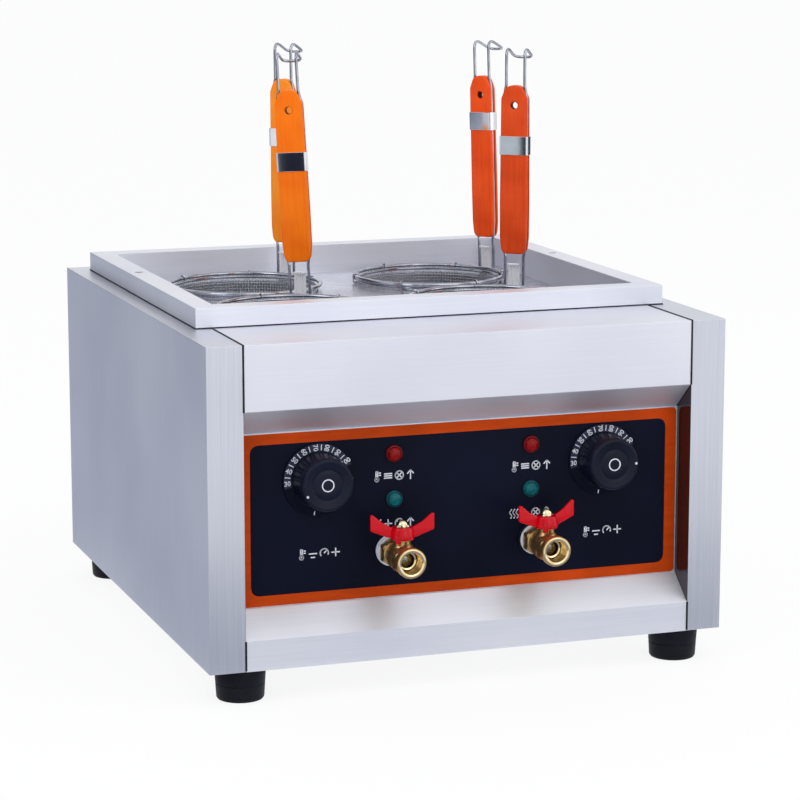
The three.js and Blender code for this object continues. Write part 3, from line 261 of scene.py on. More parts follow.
def film_on_fold(material, edge):
    """The fold's face where |x| is edge, in mm, is painted dark as the shade in the recess, and made smooth.
    """
    tree = material.node_tree
    shader = next(n for n in tree.nodes if n.bl_idname == "ShaderNodeBsdfPrincipled")
    place = add_node(tree, "TexCoord")
    apart = add_node(tree, "SeparateXYZ", {"Vector": place.outputs["Object"]})
    off_middle = add_node(tree, "Math", {0: apart.outputs["X"]}, operation="ABSOLUTE")
    on_fold = add_node(tree, "Math", {
        0: off_middle.outputs[0], 1: edge * 0.001, 2: recess_shade_reach * 0.001}, operation="COMPARE")
    rough = shader.inputs["Roughness"].links[0].from_socket
    smooth = add_node(tree, "Mix", {"Factor": on_fold.outputs[0], "A": rough, "B": recess_wall_rough})
    tree.links.new(smooth.outputs["Result"], shader.inputs["Roughness"])
    tone = shader.inputs["Base Color"].links[0].from_socket
    shaded_tone = add_node(tree, "Mix", {
        "Factor": on_fold.outputs[0], "A": tone, "B": linear(recess_shade_tone)}, data_type="RGBA")
    tree.links.new(shaded_tone.outputs["Result"], shader.inputs["Base Color"])


post_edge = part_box("right_side_panel")[0].x * 1000
# Both side panels' recess walls get the painted shade.
film_on_fold(upright_sheet, post_edge)
for node, sheet in (("left_side_panel", upright_sheet), ("right_side_panel", upright_sheet),
                    ("front_fascia", level_sheet), ("control_panel", ledge_sheet),
                    ("rear_panel", level_sheet), ("base_tray", level_sheet)):
    dress(node, sheet)

# The panel's print: a polyester sheet glued to the recessed plate, screen printed in orange with a dark
# blue field in round corners. The labels are plain pictograms in white ink.
print_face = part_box("panel_overlay")[0].y * 1000
field_half_width = 203
field_low = 92.5
field_high = 231.2
field_corner = 9
ink_thickness = 0.05
same_point = 0.002


def join(mesh, reach):
    """Joins a mesh's points within reach, in its own units, and turns its faces outward."""
    built = bmesh.new()
    built.from_mesh(mesh)
    bmesh.ops.remove_doubles(built, verts=built.verts, dist=reach)
    bmesh.ops.recalc_face_normals(built, faces=built.faces)
    built.to_mesh(mesh)
    built.free()


def add_piece(name, parts, materials, body, replaced=(), place=None, sharp=32):
    """A piece on its body, in place of the CAD nodes named. Each part is its points in mm, its faces and the
    number of its material."""
    mesh = bpy.data.meshes.new(name)
    points, faces, numbers = [], [], []
    for part_points, part_faces, number in parts:
        start = len(points)
        points += [Vector(p) * 0.001 for p in part_points]
        faces += [[start + i for i in face] for face in part_faces]
        numbers += [number] * len(part_faces)
    mesh.from_pydata(points, [], faces)
    for material in materials:
        mesh.materials.append(material)
    mesh.polygons.foreach_set("material_index", numbers)
    join(mesh, same_point * 0.001)
    mesh.shade_smooth()
    mesh.set_sharp_from_angle(angle=math.radians(sharp))
    return set_piece(name, mesh, body, replaced, place)


def set_piece(name, mesh, body, replaced=(), place=None):
    """A mesh as a piece on its body. Place is a matrix in mm."""
    made = put(name, mesh)
    if place is not None:
        at = place.copy()
        at.translation *= 0.001
        made.matrix_world = at
    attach(made, body)
    if replaced:
        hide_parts(*replaced)
    return made


def box_mm(node):
    """A CAD node's low and high corner in mm."""
    return [Vector(corner) * 1000 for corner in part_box(node)]


def shift(x, y, z):
    """A shift in mm, as a matrix."""
    return Matrix.Translation((x, y, z))


def turn(degrees, axis="Z"):
    """A turn about an axis, as a matrix."""
    return Matrix.Rotation(math.radians(degrees), 4, axis)


def moved(part, matrix):
    """The part with its points carried by a matrix."""
    points, faces, number = part
    return [matrix @ Vector(p) for p in points], faces, number


def eased(corners, bend, steps=5, closed=False):
    """A line with its corners rounded, flat or in space."""
    corners = [Vector(c) for c in corners]
    made = []
    for i, corner in enumerate(corners):
        if not closed and i in (0, len(corners) - 1):
            made.append(corner)
            continue
        before = corners[i - 1] - corner
        after = corners[(i + 1) % len(corners)] - corner
        turned = math.pi - before.angle(after)
        back = min(bend * math.tan(turned / 2), before.length * 0.49, after.length * 0.49)
        start = corner + before.normalized() * back
        end = corner + after.normalized() * back
        for k in range(steps + 1):
            t = k / steps
            made.append(start * (1 - t) ** 2 + corner * 2 * t * (1 - t) + end * t ** 2)
    return made


def filled(curve, material):
    """What a flat curve or text fills, as a part."""
    holder = bpy.data.objects.new("outline", curve)
    mesh = bpy.data.meshes.new_from_object(holder)
    made = [v.co.copy() for v in mesh.vertices], [list(p.vertices) for p in mesh.polygons], material
    bpy.data.objects.remove(holder)
    bpy.data.meshes.remove(mesh)
    return made


def slab(outline, holes, thickness, edge=0.0, material=0, rounding=2):
    """A flat part about z = 0, cut to an outline with holes and its edges rounded."""
    curve = bpy.data.curves.new("outline", "CURVE")
    curve.dimensions = "2D"
    curve.fill_mode = "BOTH"
    curve.extrude = thickness / 2 - edge
    curve.bevel_depth = edge
    curve.bevel_resolution = rounding
    curve.offset = -edge
    for line in [outline, *holes]:
        spline = curve.splines.new("POLY")
        spline.points.add(len(line) - 1)
        for point, (x, y) in zip(spline.points, line):
            point.co = (x, y, 0, 1)
        spline.use_cyclic_u = True
    return filled(curve, material)


def round_hole(x, y, radius, steps=48):
    """The outline of a round hole or disc."""
    return [(x + radius * math.cos(2 * math.pi * k / steps), y + radius * math.sin(2 * math.pi * k / steps))
            for k in range(steps)]


def stroke(line, width, material=0):
    """A line of ink as flat quads."""
    points, faces = [], []
    for (x0, y0), (x1, y1) in zip(line, line[1:]):
        across = Vector((y0 - y1, x1 - x0)).normalized() * width / 2
        along = Vector((x1 - x0, y1 - y0)).normalized() * width / 4
        start = len(points)
        for x, y, a, b in ((x0, y0, 1, -1), (x0, y0, -1, -1), (x1, y1, -1, 1), (x1, y1, 1, 1)):
            points.append((x + across.x * a + along.x * b, y + across.y * a + along.y * b, 0))
        faces.append([start, start + 1, start + 2, start + 3])
    return points, faces, material


# Each pictogram is drawn in an 8 by 8 mm square about its middle.
sign_radius = 3.2
circle = [(sign_radius * math.cos(k * math.pi / 8), sign_radius * math.sin(k * math.pi / 8))
          for k in range(17)]
bulb = [(1.5 * math.cos(k * math.pi / 6), -2.4 + 1.5 * math.sin(k * math.pi / 6)) for k in range(13)]
thermometer = [bulb, [(-0.7, -1), (-0.7, 3.6), (0.7, 3.6), (0.7, -1)], [(0, -2.4), (0, 1.6)],
               [(1.8, 2.6), (3, 2.6)], [(1.8, 0.9), (3, 0.9)]]
level_bars = [[(-3, 1.6), (3, 1.6)], [(-3, -1.6), (3, -1.6)], [(-3, 0), (3, 0)]]
lamp_sign = [circle, [(-2.2, -2.2), (2.2, 2.2)], [(-2.2, 2.2), (2.2, -2.2)]]
heat_waves = [[(x + 0.8 * math.sin(k * 0.9), -3.4 + k * 0.85) for k in range(9)] for x in (-2.6, 0, 2.6)]
arrow_up = [[(0, -3.4), (0, 3.4)], [(-2.4, 0.8), (0, 3.4), (2.4, 0.8)]]
plus_sign = [[(-3, 0), (3, 0)], [(0, -3), (0, 3)]]
minus_sign = [[(-3, 0), (3, 0)], [(-1.4, -2.8), (1.4, -2.8)]]
turn_arc = [(sign_radius * math.cos(k * 0.35 - 0.4), sign_radius * math.sin(k * 0.35 - 0.4))
            for k in range(13)]
turn_sign = [turn_arc, [(0, 0), (2.2, 2.2)]]
labels = (
    (67, 195, (thermometer, level_bars, lamp_sign, arrow_up)),
    (67, 150.5, (heat_waves, plus_sign, lamp_sign, arrow_up)),
    (139, 128, (thermometer, minus_sign, turn_sign, plus_sign)),
)

# Screen ink lies smooth and nearly matt, the orange a little uneven where the squeegee ran.
orange_print = surface("orange_screen_print", "#C84610", "#A0380C", (30, 30, 6), 0.0, 0.36, 0.08, 0.01,
                       cloud=120, specular=0.04)
navy_print = surface("dark_blue_screen_print", "#111527", "#0C0F1B", (0.8, 0.8, 0.8), 0.0, 0.34, 0.05, 0.01,
                     cloud=120, specular=0.04)
white_ink = surface("white_screen_ink", "#E2E3EA", "#C4C7D2", (0.6, 0.6, 0.6), 0.0, 0.5, 0.06, 0.01,
                    cloud=6, specular=0.2)
dress("panel_overlay", orange_print, 0.2)
field_box = [(-field_half_width, field_low), (field_half_width, field_low), (field_half_width, field_high),
             (-field_half_width, field_high)]
stood_up = turn(90, "X")
field_part = slab(eased(field_box, field_corner, 8, closed=True), [], ink_thickness)
ink_y = print_face - ink_thickness
add_piece("printed_dark_field", [moved(field_part, shift(0, ink_y, 0) @ stood_up)],
          [navy_print], "housing")
label_pitch = 10.8
label_scale = 1.22
label_stroke = 1.15
marks = []
for x, z, signs in labels:
    for side in (-1, 1):
        for i, sign in enumerate(signs):
            across = side * x + (i - (len(signs) - 1) / 2) * label_pitch
            spot = shift(across, ink_y - 2 * ink_thickness, z) @ stood_up
            for line in sign:
                scaled = [(label_scale * u, label_scale * v) for u, v in line]
                marks.append(moved(stroke(scaled, label_stroke), spot))
add_piece("printed_pictograms", marks, [white_ink], "housing")

# The dials: moulded black ABS discs under the knobs, with a grey band painted over the upper arc as the
# disc's sheen, and white figures in degrees.
dial_places = {"left": (-139, 196.5), "right": (139, 196.5)}
dial_radius = 34
dial_edge = 0.75
sheen_band_inner = 25.9
sheen_band_outer = 33
sheen_band_angles = range(22, 193, 5)
figure_size = 6.2
figure_radius = 29.6
first_figure_angle = 184
figure_step = 22
tick = [(-2.4, 0), (2.4, 0)]
index_mark = [(29.4, 0), (32.4, 0)]
index_angles = (-2, -98)
mark_width = 0.9
print_thickness = 0.06


def lathe(profile, steps=64, axis="Z", centre=(0, 0, 0), material=0):
    """A turned part from (radius, height) points; a third number is a width across flats that cuts the round
    to a hexagon. A closed section ends on its first point."""
    points, faces, rows = [], [], []
    for radius, height, *flats in profile:
        row = []
        for i in range(1 if radius == 0 else steps):
            angle = 2 * math.pi * i / steps
            reach = radius
            if flats:
                off_middle = (angle + math.pi / 6) % (math.pi / 3) - math.pi / 6
                reach = min(radius, flats[0] / 2 / math.cos(off_middle))
            u, v = reach * math.cos(angle), reach * math.sin(angle)
            turned = {"X": (height, u, v), "Y": (u, height, v), "Z": (u, v, height)}[axis]
            row.append(len(points))
            points.append(Vector(centre) + Vector(turned))
        rows.append(row)
    for a, b in zip(rows, rows[1:]):
        for i in range(steps if len(a) + len(b) > 2 else 0):
            corners = [a[i % len(a)], a[(i + 1) % steps % len(a)], b[(i + 1) % steps % len(b)], b[i % len(b)]]
            faces.append(list(dict.fromkeys(corners)))
    return points, faces, material


def figures(text, size, material=0):
    """Plain figures as a flat part about their own middle."""
    curve = bpy.data.curves.new("figures", "FONT")
    curve.body = text
    curve.size = size
    curve.align_x = "CENTER"
    curve.align_y = "CENTER"
    curve.resolution_u = 3
    curve.offset = size * 0.022
    return filled(curve, material)


# Moulded ABS is smooth, with a soft gloss. The printed disc is duller, and its grey band is painted sheen.
black_abs = surface("moulded_black_abs", "#13182C", "#0C101E", (0.5, 0.5, 0.5), 0.0, 0.28, 0.03, 0.002,
                    cloud=40, specular=0.14)
dial_abs = surface("printed_black_abs", "#0E1222", "#090C18", (0.5, 0.5, 0.5), 0.0, 0.34, 0.04, 0.004,
                   cloud=40, specular=0.05)
# The grey band over the dial's upper arc is a painted sheen.
sheen_band = surface("grey_band_painted_sheen", "#3A4056", "#1C2032", (1, 1, 1), 0.0, 0.3, 0.05, 0.01,
                     cloud=16, specular=0.12)
for side, (x, z) in dial_places.items():
    low, high = (corner.y * 1000 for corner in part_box(f"dial_{side}"))
    section = [(3.6, high), (dial_radius, high), (dial_radius, low + dial_edge),
               (dial_radius - 0.3, low + 0.25), (dial_radius - dial_edge, low), (3.6, low), (3.6, high)]
    band = [(math.cos(math.radians(a)), math.sin(math.radians(a))) for a in sheen_band_angles]
    outline = [(sheen_band_outer * u, sheen_band_outer * v) for u, v in band]
    outline += [(sheen_band_inner * u, sheen_band_inner * v) for u, v in reversed(band)]
    band_part = slab(outline, [], print_thickness, material=1)
    parts = [lathe(section, 96, "Y", (x, 0, z)), moved(band_part, shift(x, low, z) @ stood_up)]
    to_figure = shift(figure_radius, 0, 0)
    for i, number in enumerate((30, 40, 50, 60, 70, 80, 90, 100)):
        angle = first_figure_angle - figure_step * i
        out = shift(x, low - 0.08, z) @ stood_up @ turn(angle)
        upright = turn(180 if angle > 91 else 0)
        parts.append(moved(figures(str(number), figure_size, 2), out @ to_figure @ upright))
        if i < 7:
            parts.append(moved(stroke(tick, mark_width, 2), out @ turn(-figure_step / 2) @ to_figure))
    for angle in index_angles:
        out = shift(x, low - 0.04, z) @ stood_up @ turn(angle)
        parts.append(moved(stroke(index_mark, mark_width, 2), out))
    add_piece(f"dial_plate_{side}", parts, [dial_abs, sheen_band, white_ink], "housing", [f"dial_{side}"])

# The knobs: moulded black ABS caps pushed on the thermostat shafts, with a dished face, a printed ring
# and a white pointer dot at the edge.
knob_turns = {"left": 205, "right": 0}
knob_ring_radii = (4.8, 5.9)
dot_place = 21.3
dot_radius = 1.15
for side, (x, z) in dial_places.items():
    front, back = (corner.y * 1000 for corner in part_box(f"knob_{side}"))
    section = [(3.3, back), (25.2, back), (25.5, back - 0.4), (25.5, back - 2.2), (25.1, back - 2.6),
               (24.5, front + 4.4), (24.1, front + 4.0), (24.4, front + 3.6), (24.3, front + 2.2),
               (23.7, front + 0.9), (22.7, front + 0.15), (21.6, front), (20.4, front + 0.25),
               (17, front + 0.8), (14.4, front + 1.15), (13.9, front + 1.45), (13.3, front + 1.2),
               (8, front + 1.0), (0, front + 0.9), (0, front + 1.4), (3.3, back - 13), (3.3, back)]
    hole, edge = (round_hole(0, 0, radius, 64) for radius in knob_ring_radii)
    ring = slab(edge, [hole], print_thickness, material=1)
    angle = math.radians(knob_turns[side])
    dot_edge = round_hole(dot_place * math.cos(angle), dot_place * math.sin(angle), dot_radius, 24)
    dot = slab(dot_edge, [], print_thickness, material=1)
    add_piece(f"thermostat_knob_{side}",
              [lathe(section, 96, "Y", (x, 0, z)),
               moved(ring, shift(x, front + 0.88, z) @ stood_up),
               moved(dot, shift(x, front - 0.02, z) @ stood_up)],
              [black_abs, white_ink], f"knob_{side}", [f"knob_{side}"])

# The pilot lamps: clear coloured polycarbonate lenses snapped in the panel, with a collar in the lens's
# own colour and a ribbed inside that breaks up the light.
lamp_colours = {"red": ("#6C0002", "#400004", "#900006"), "green": ("#004A54", "#002830", "#00686C")}
for colour, (lens_tone, collar_tone, core_tone) in lamp_colours.items():
    lens = surface(f"{colour}_polycarbonate_lens", lens_tone, core_tone, (2.2, 2.2, 2.2), 0.0, 0.16, 0.05,
                   0.1, cloud=6, specular=0.2)
    collar = surface(f"{colour}_polycarbonate_collar", collar_tone, lens_tone, (3, 3, 3), 0.0, 0.2, 0.05,
                     0.03, cloud=12, specular=0.2)
    for side in ("left", "right"):
        low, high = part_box(f"{colour}_lamp_{side}")
        centre = ((low.x + high.x) * 500, 0, (low.z + high.z) * 500)
        seat = print_face - 0.3
        section = [(0, high.y * 1000), (5.5, high.y * 1000), (5.5, seat), (8, seat), (8, seat - 1.6),
                   (7.75, seat - 2.2), (7.2, seat - 2.5), (6.5, seat - 2.5), (6.2, seat - 2.1)]
        dome = [(6.2, seat - 2.1), (6.15, seat - 2.7), (5.6, seat - 3.9), (4.4, seat - 4.8),
                (2.5, seat - 5.5), (0, low.y * 1000)]
        add_piece(f"{colour}_pilot_lamp_{side}",
                  [lathe(section, 48, "Y", centre, 1), lathe(dome, 48, "Y", centre, 0)], [lens, collar],
                  "housing", [f"{colour}_lamp_{side}"])

# The drain valves: forged and turned brass ball valves on a threaded pipe, each sealed by a gasket, white
# nylon at the left and black rubber at the right, and a white nylon washer. The butterfly handle is
# pressed steel dipped in red vinyl.
valve_x = {"left": -70, "right": 70}
stem_y = -270.65
valve_z = 126
handle_turns = {"left": -8, "right": 10}

# Turned brass is warm and half dull from the tool, and bright where a face is polished. The polished lip and
# bore are
# painted a cream paler than brass: a painted highlight. Tin pales it. The chromed ball mirrors the bore,
# dipped vinyl has a wet gloss, and rubber and nylon stay dull.
turned_brass = surface("turned_brass", "#CFAE78", "#AE8A55", (0.6, 0.6, 0.6), 0.92, 0.32, 0.05, 0.01,
                       cloud=14)
# The lip and bore colour is paler than brass: a painted highlight.
polished_brass_painted_highlight = surface("polished_brass_painted_highlight", "#FAE9C2", "#E8CD96", (1.2, 1.2, 1.2), 1.0, 0.12, 0.03, 0.01,
                         cloud=12)
pale_brass = surface("tinned_brass", "#EFE4C6", "#DCCBA0", (1.2, 1.2, 1.2), 1.0, 0.16, 0.03, 0.01, cloud=12)
chromed_ball = surface("chromed_brass_ball", "#8A8578", "#6E6A60", (2, 2, 2), 1.0, 0.12, 0.03, 0.01, cloud=20)
red_vinyl = surface("dipped_red_vinyl", "#CC0018", "#B80012", (3, 3, 3), 0.0, 0.2, 0.03, 0.004,
                    cloud=30, specular=0.24)
black_rubber = surface("moulded_black_rubber", "#10131E", "#0A0C14", (0.6, 0.6, 0.6), 0.0, 0.5, 0.08, 0.04,
                       cloud=18, specular=0.14)
white_nylon = surface("moulded_white_nylon", "#DFE1E9", "#C9CCD6", (0.7, 0.7, 0.7), 0.0, 0.45, 0.07, 0.03,
                      cloud=10, specular=0.3)
flats = 25
seat_bore = 10.95
body_section = [(seat_bore, 13.75), (seat_bore, 25.3), (11.3, 25.75), (12.4, 25.75), (14.2, 24.4, flats),
                (14.2, 16.1, flats), (12.4, 14.75), (11.2, 14.3), (11.0, 13.5), (11.9, 10.2), (12.9, 6),
                (13.4, 2.5), (13.5, 0), (13.4, -2.5), (13.0, -5.4), (12.4, -7.5), (12.5, -7.8),
                (14.2, -9.1, flats), (14.2, -17.5, flats), (12.6, -18.7), (12.9, -18.9), (13.9, -19.6),
                (14.0, -20.2), (14.0, -25.6), (13.7, -26.4), (13.0, -26.75)]
lip_section = [(13.0, -26.75), (10.9, -26.75), (10.1, -26.3)]
bore_section = [(10.1, -26.3)]
thread_pitch = 1.45
for k in range(8):
    bore_section += [(9.75 - 0.1 * k, -25.2 + thread_pitch * k), (9.35 - 0.1 * k, -24.5 + thread_pitch * k)]
bore_section += [(8.4, -13.75), (7.0, -13.2), (7.0, -10.6), (11.3, -3), (11.3, 3), (7.0, 10.6), (7.0, 13.75),
                 (seat_bore, 13.75)]
neck_section = [(10.2, 8), (9.4, 11), (7.9, 12.6), (7.5, 14), (7.5, 19.2), (6.9, 20), (4.7, 20), (4.7, 11)]
pin_section = [(1.5, 8), (1.5, 15.6), (1.1, 16.2), (0, 16.4)]
stop_pin = (1.77, -10.05)
ball_radius = 11
ball_bore = 6.5
stem_section = [(0, 9), (4, 9), (4, 31), (3.6, 31.6), (0, 31.6)]
hub_section = [(7.9, 17.2), (10.2, 17.2), (10.8, 17.5), (11, 18.2), (11, 20.6), (10.7, 22.6), (10.1, 25),
               (9.6, 26.9), (9, 28.2), (8.3, 28.7), (7.7, 28.5), (7.4, 27.8), (7.4, 24), (4.4, 24),
               (4.4, 20.3), (7.9, 20.3), (7.9, 17.2)]
nut_flats = 11.6
nut_section = [(4.4, 24.3), (5.8, 24.3), (6.6, 24.9, nut_flats), (6.6, 29.6, nut_flats), (5.8, 30.5),
               (5.4, 30.8), (5.0, 32), (3.9, 33.6), (2.2, 34.6), (0, 35)]
wing_outline = [(9, 18.6), (13, 18.8), (29.5, 25.4), (29.5, 40.2), (27, 40.2), (18, 32.6), (9, 27.8)]
wing_thick = 3.2
lug_outline = [(7.8, -2.5), (11, -2.5), (11, 2.5), (7.8, 2.5)]
lug_height = 9.6
lug_middle = 19.1
lug_turns = (-124, 34)
washer_radius = 14
gaskets = {"left": (14.6, white_nylon), "right": (15.5, black_rubber)}
pin = moved(lathe(pin_section, 20), shift(*stop_pin, 0))
arc = [(ball_radius * math.cos(math.radians(a)), ball_radius * math.sin(math.radians(a)))
       for a in range(54, -55, -9)]
ball = [(ball_bore, arc[0][1])] + arc + [(ball_bore, arc[-1][1]), (ball_bore, arc[0][1])]
wing = slab(eased(wing_outline, 2.2, 4, closed=True), [], wing_thick, 1.1, rounding=3)
wings = [moved(wing, turn(angle) @ stood_up) for angle in (0, 180)]
lug = slab(eased(lug_outline, 1, 3, closed=True), [], lug_height, 0.5)
lugs = [moved(lug, turn(angle) @ shift(0, 0, lug_middle)) for angle in lug_turns]
for side, x in valve_x.items():
    at_stem = shift(x, stem_y, valve_z)
    gasket_radius, gasket_finish = gaskets[side]
    for node, radius, finish in (("valve_gasket", gasket_radius, gasket_finish),
                                 ("valve_washer", washer_radius, white_nylon)):
        low, high = (c.y * 1000 - stem_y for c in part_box(f"{node}_{side}"))
        ring = [(seat_bore, high), (radius - 0.4, high), (radius, high - 0.4), (radius, low + 0.4),
                (radius - 0.4, low), (seat_bore, low), (seat_bore, high)]
        add_piece(f"moulded_{node}_{side}", [lathe(ring, 64, "Y")], [finish], "housing", [f"{node}_{side}"],
                  at_stem)
    add_piece(f"brass_valve_{side}",
              [lathe(body_section, 96, "Y"), lathe(lip_section, 96, "Y", material=1),
               lathe(bore_section, 96, "Y", material=1), lathe(neck_section, 48), pin],
              [turned_brass, polished_brass_painted_highlight], "housing", [f"valve_body_{side}"], at_stem)
    at_handle = at_stem @ turn(handle_turns[side])
    add_piece(f"ball_and_stem_{side}", [lathe(ball, 64, "X"), lathe(stem_section, 32)], [chromed_ball],
              f"valve_{side}", [f"valve_ball_{side}"], at_handle)
    add_piece(f"butterfly_handle_{side}", [lathe(hub_section, 64), *wings, *lugs], [red_vinyl],
              f"valve_{side}", [f"valve_lever_{side}"], at_handle)
    add_piece(f"brass_dome_nut_{side}", [lathe(nut_section, 48)], [pale_brass], f"valve_{side}",
              [f"valve_nut_{side}"], at_handle)

# The rim and deck: a raised channel of the same sheet welded round the basin and ground flush, with a small
# hole in each side. The deck under it is a loose plate with a punched hole for each strainer.
ring_places = {
    "front_left": (-99.5, -42.1), "front_right": (99.5, -42.1),
    "rear_left": (-99.5, 127.9), "rear_right": (99.5, 127.9),
}
deck_hole_radius = 74.5
rim_sheet = surface("satin_stainless_rim", "#E4E6EE", "#D8DBE5", (90, 0.9, 0.9), 0.8, 0.44, 0.03, 0.006)
deck_sheet = surface("satin_stainless_deck", "#DCDEE7", "#CED1DC", (60, 0.9, 0.9), 0.84, 0.26, 0.03, 0.006)
dress("tank_rim", rim_sheet)
low, high = box_mm("basket_deck")
deck_outline = eased([(low.x, low.y), (high.x, low.y), (high.x, high.y), (low.x, high.y)], 2, 4, closed=True)
deck_holes = [round_hole(x, y, deck_hole_radius, 96) for x, y in ring_places.values()]
deck_part = slab(deck_outline, deck_holes, high.z - low.z, 0.3)
at_deck = shift(0, 0, (low.z + high.z) / 2)
add_piece("punched_deck", [moved(deck_part, at_deck)], [deck_sheet], "deck", ["basket_deck"])

# The inside: two deep-drawn tanks with the dull finish of the press, a tubular heating element in each,
# the capillary thermostats behind the panel, and welded drain pipes.
element_pitch = 32
element_z = 142.4
element_diameter = 8
element_bend = 15.5
cold_end = 54

# The press leaves drawn steel dull and streaked upright. Annealing and hard water stain the tube grey brown.
drawn_sheet = surface("deep_drawn_stainless", "#D2D4DC", "#BEC1CB", (2, 2, 40), 0.85, 0.4, 0.05, 0.02)
element_tube = surface("annealed_element_tube", "#8E8C8C", "#6E6B6C", (3, 8, 3), 1.0, 0.4, 0.07, 0.03,
                       cloud=30)


def disc_section(diameter, sides):
    """The round section of a wire, tube or bead."""
    return round_hole(0, 0, diameter / 2, sides)


def sweep(path, section, closed=False, up=None, material=0):
    """A part with one section carried along a path; up keeps the section's first axis that way."""
    path = [Vector(p) for p in path]
    count, sides = len(path), len(section)
    points, faces, first = [], [], None
    for i, here in enumerate(path):
        before = path[i - 1] if closed or i else here
        after = path[(i + 1) % count] if closed or i < count - 1 else here
        run = (after - before).normalized()
        first = Vector(up) if up else (first or run.orthogonal())
        first = (first - run * first.dot(run)).normalized()
        second = run.cross(first)
        points += [here + first * u + second * v for u, v in section]
    for i in range(count if closed else count - 1):
        a, b = i * sides, (i + 1) % count * sides
        faces += [[a + k, a + (k + 1) % sides, b + (k + 1) % sides, b + k] for k in range(sides)]
    if not closed:
        faces += [list(range(sides)), [(count - 1) * sides + k for k in range(sides)]]
    return points, faces, material


for side in ("left", "right"):
    dress(f"tank_{side}", drawn_sheet, 0.4)
    dress(f"thermostat_{side}", drawn_sheet, 0.3)
    dress(f"drain_pipe_{side}", drawn_sheet, 0.3)
    low, high = box_mm(f"heating_element_{side}")
    middle = (low.x + high.x) / 2
    start, far = low.y, high.y - element_diameter / 2
    near = start + cold_end
    xs = [middle + element_pitch * (k - 1.5) for k in range(4)]
    line = [(xs[0], start), (xs[0], far), (xs[1], far), (xs[1], near), (xs[2], near), (xs[2], far),
            (xs[3], far), (xs[3], start)]
    path = eased([(a, b, element_z) for a, b in line], element_bend, 8)
    add_piece(f"element_coil_{side}", [sweep(path, disc_section(element_diameter, 16))], [element_tube],
              "housing", [f"heating_element_{side}"])

# The strainers: a thick wire ring with a thinner one under it and six clips, a bowl of woven wire cloth,
# and a handle of bent wire that runs up both edges of the wood and over into a hook, with a folded rest
# plate at its foot.
ring_z = 323
ring_radius = 76.5
ring_wire = 4.5
rim_wire_share = 0.953
rim_wire_z = -3.2
rim_wire = 2.8
handle_x = 77.625
handle_wire = 3
foot_z = -5.2
stances = {
    "front_left": (68.5, -8.5, 3.1), "front_right": (49, 0, 0),
    "rear_left": (40.5, 0, 0.5), "rear_right": (18.5, 9.5, 2.2),
}

# Drawn wire is bright with faint lines along it, woven wire paler and duller. The pressed strip scatters
# the light evenly, and the polished band is close to a mirror.
bright_wire = surface("drawn_stainless_wire", "#B8BBC4", "#868A96", (0.8, 0.8, 6), 1.0, 0.1, 0.04, 0.002,
                      cloud=24)
cloth_wire = surface("woven_stainless_wire", "#EEF0F5", "#D2D5DD", (1, 1, 1), 0.6, 0.26, 0.06, 0.02, cloud=16)
bent_plate = surface("pressed_stainless_strip", "#FCFCFE", "#F0F1F5", (1, 1, 14), 0.3, 0.3, 0.05, 0.003,
                     cloud=20)
polished_band = surface("polished_stainless_band", "#E4E6EC", "#D0D3DB", (8, 1, 1), 1.0, 0.12, 0.03, 0.001,
                        cloud=20)

# Wire cloth: 1 mm wire at 3 mm, coarser than the real 0.5 mm at 1.5 mm, so that it shows. A strip makes the
# wall and the shoulder, a disc the bottom, with a seam wire between them.
cloth_thick = 1.0
cloth_pitch = 3
wall_top_radius = 73.3
wall_end_radius = 64.3
wall_end_z = -76
bottom_depth = 41.3
seam_radius = 42
seam_wire = 1.5
around = 154


def crease(angle, radius):
    """How far the cloth waves in and out of true: not at the ring, and not at the bottom's middle."""
    free = (1 - (radius / wall_top_radius) ** 12) * min(1, radius / 30)
    return free * (0.8 * math.sin(5 * angle + 0.2 * radius) + 0.6 * math.sin(11 * angle - 0.33 * radius))


def cloth_place(angle, radius, lift):
    """A point on the bowl where it has this radius, lifted off along its normal."""
    lift += crease(angle, radius)
    if radius >= wall_end_radius:
        z = wall_end_z * (wall_top_radius - radius) / (wall_top_radius - wall_end_radius)
        slope = Vector((-wall_end_z, wall_end_radius - wall_top_radius)).normalized()
    else:
        z = wall_end_z - bottom_depth * math.sqrt(1 - (radius / wall_end_radius) ** 2)
        slope = Vector((radius / wall_end_radius ** 2, (z - wall_end_z) / bottom_depth ** 2)).normalized()
    out = radius + slope.x * lift
    return Vector((out * math.cos(angle), out * math.sin(angle), z + slope.y * lift))


rows = [wall_top_radius - share * 0.12 for share in (1.5, 3, 4.5, 6)]
while rows[-1] > wall_end_radius + 0.5:
    rows.append(rows[-1] - cloth_pitch * 9 / 76.5)
for k in range(1, 13):
    rows.append(wall_end_radius * math.cos(k * 0.07))
rows = [r for r in rows if r > seam_radius]
cloth = []
lift = cloth_thick / 2
thin = disc_section(cloth_thick, 3)
for i in range(around):
    angle = 2 * math.pi * i / around
    cloth.append(sweep([cloth_place(angle, r, lift * (-1) ** (i + j)) for j, r in enumerate(rows)], thin))
for j, r in enumerate(rows):
    turns = [cloth_place(2 * math.pi * i / around, r, -lift * (-1) ** (i + j)) for i in range(around)]
    cloth.append(sweep(turns, thin, closed=True))
reach = int(seam_radius // cloth_pitch)
for k in range(-reach, reach + 1):
    half = math.sqrt(seam_radius ** 2 - (k * cloth_pitch) ** 2)
    stops = [m for m in range(-reach, reach + 1) if abs(m * cloth_pitch) < half]
    for across in (False, True):
        line = [(k * cloth_pitch, m * cloth_pitch, (-1) ** (k + m + across)) for m in stops]
        spots = [(v, u, s) if across else (u, v, s) for u, v, s in line]
        if len(spots) > 1:
            wire = [cloth_place(math.atan2(v, u), math.hypot(u, v), lift * s) for u, v, s in spots]
            cloth.append(sweep(wire, thin))
seam = [cloth_place(2 * math.pi * i / 64, seam_radius, 0) for i in range(64)]
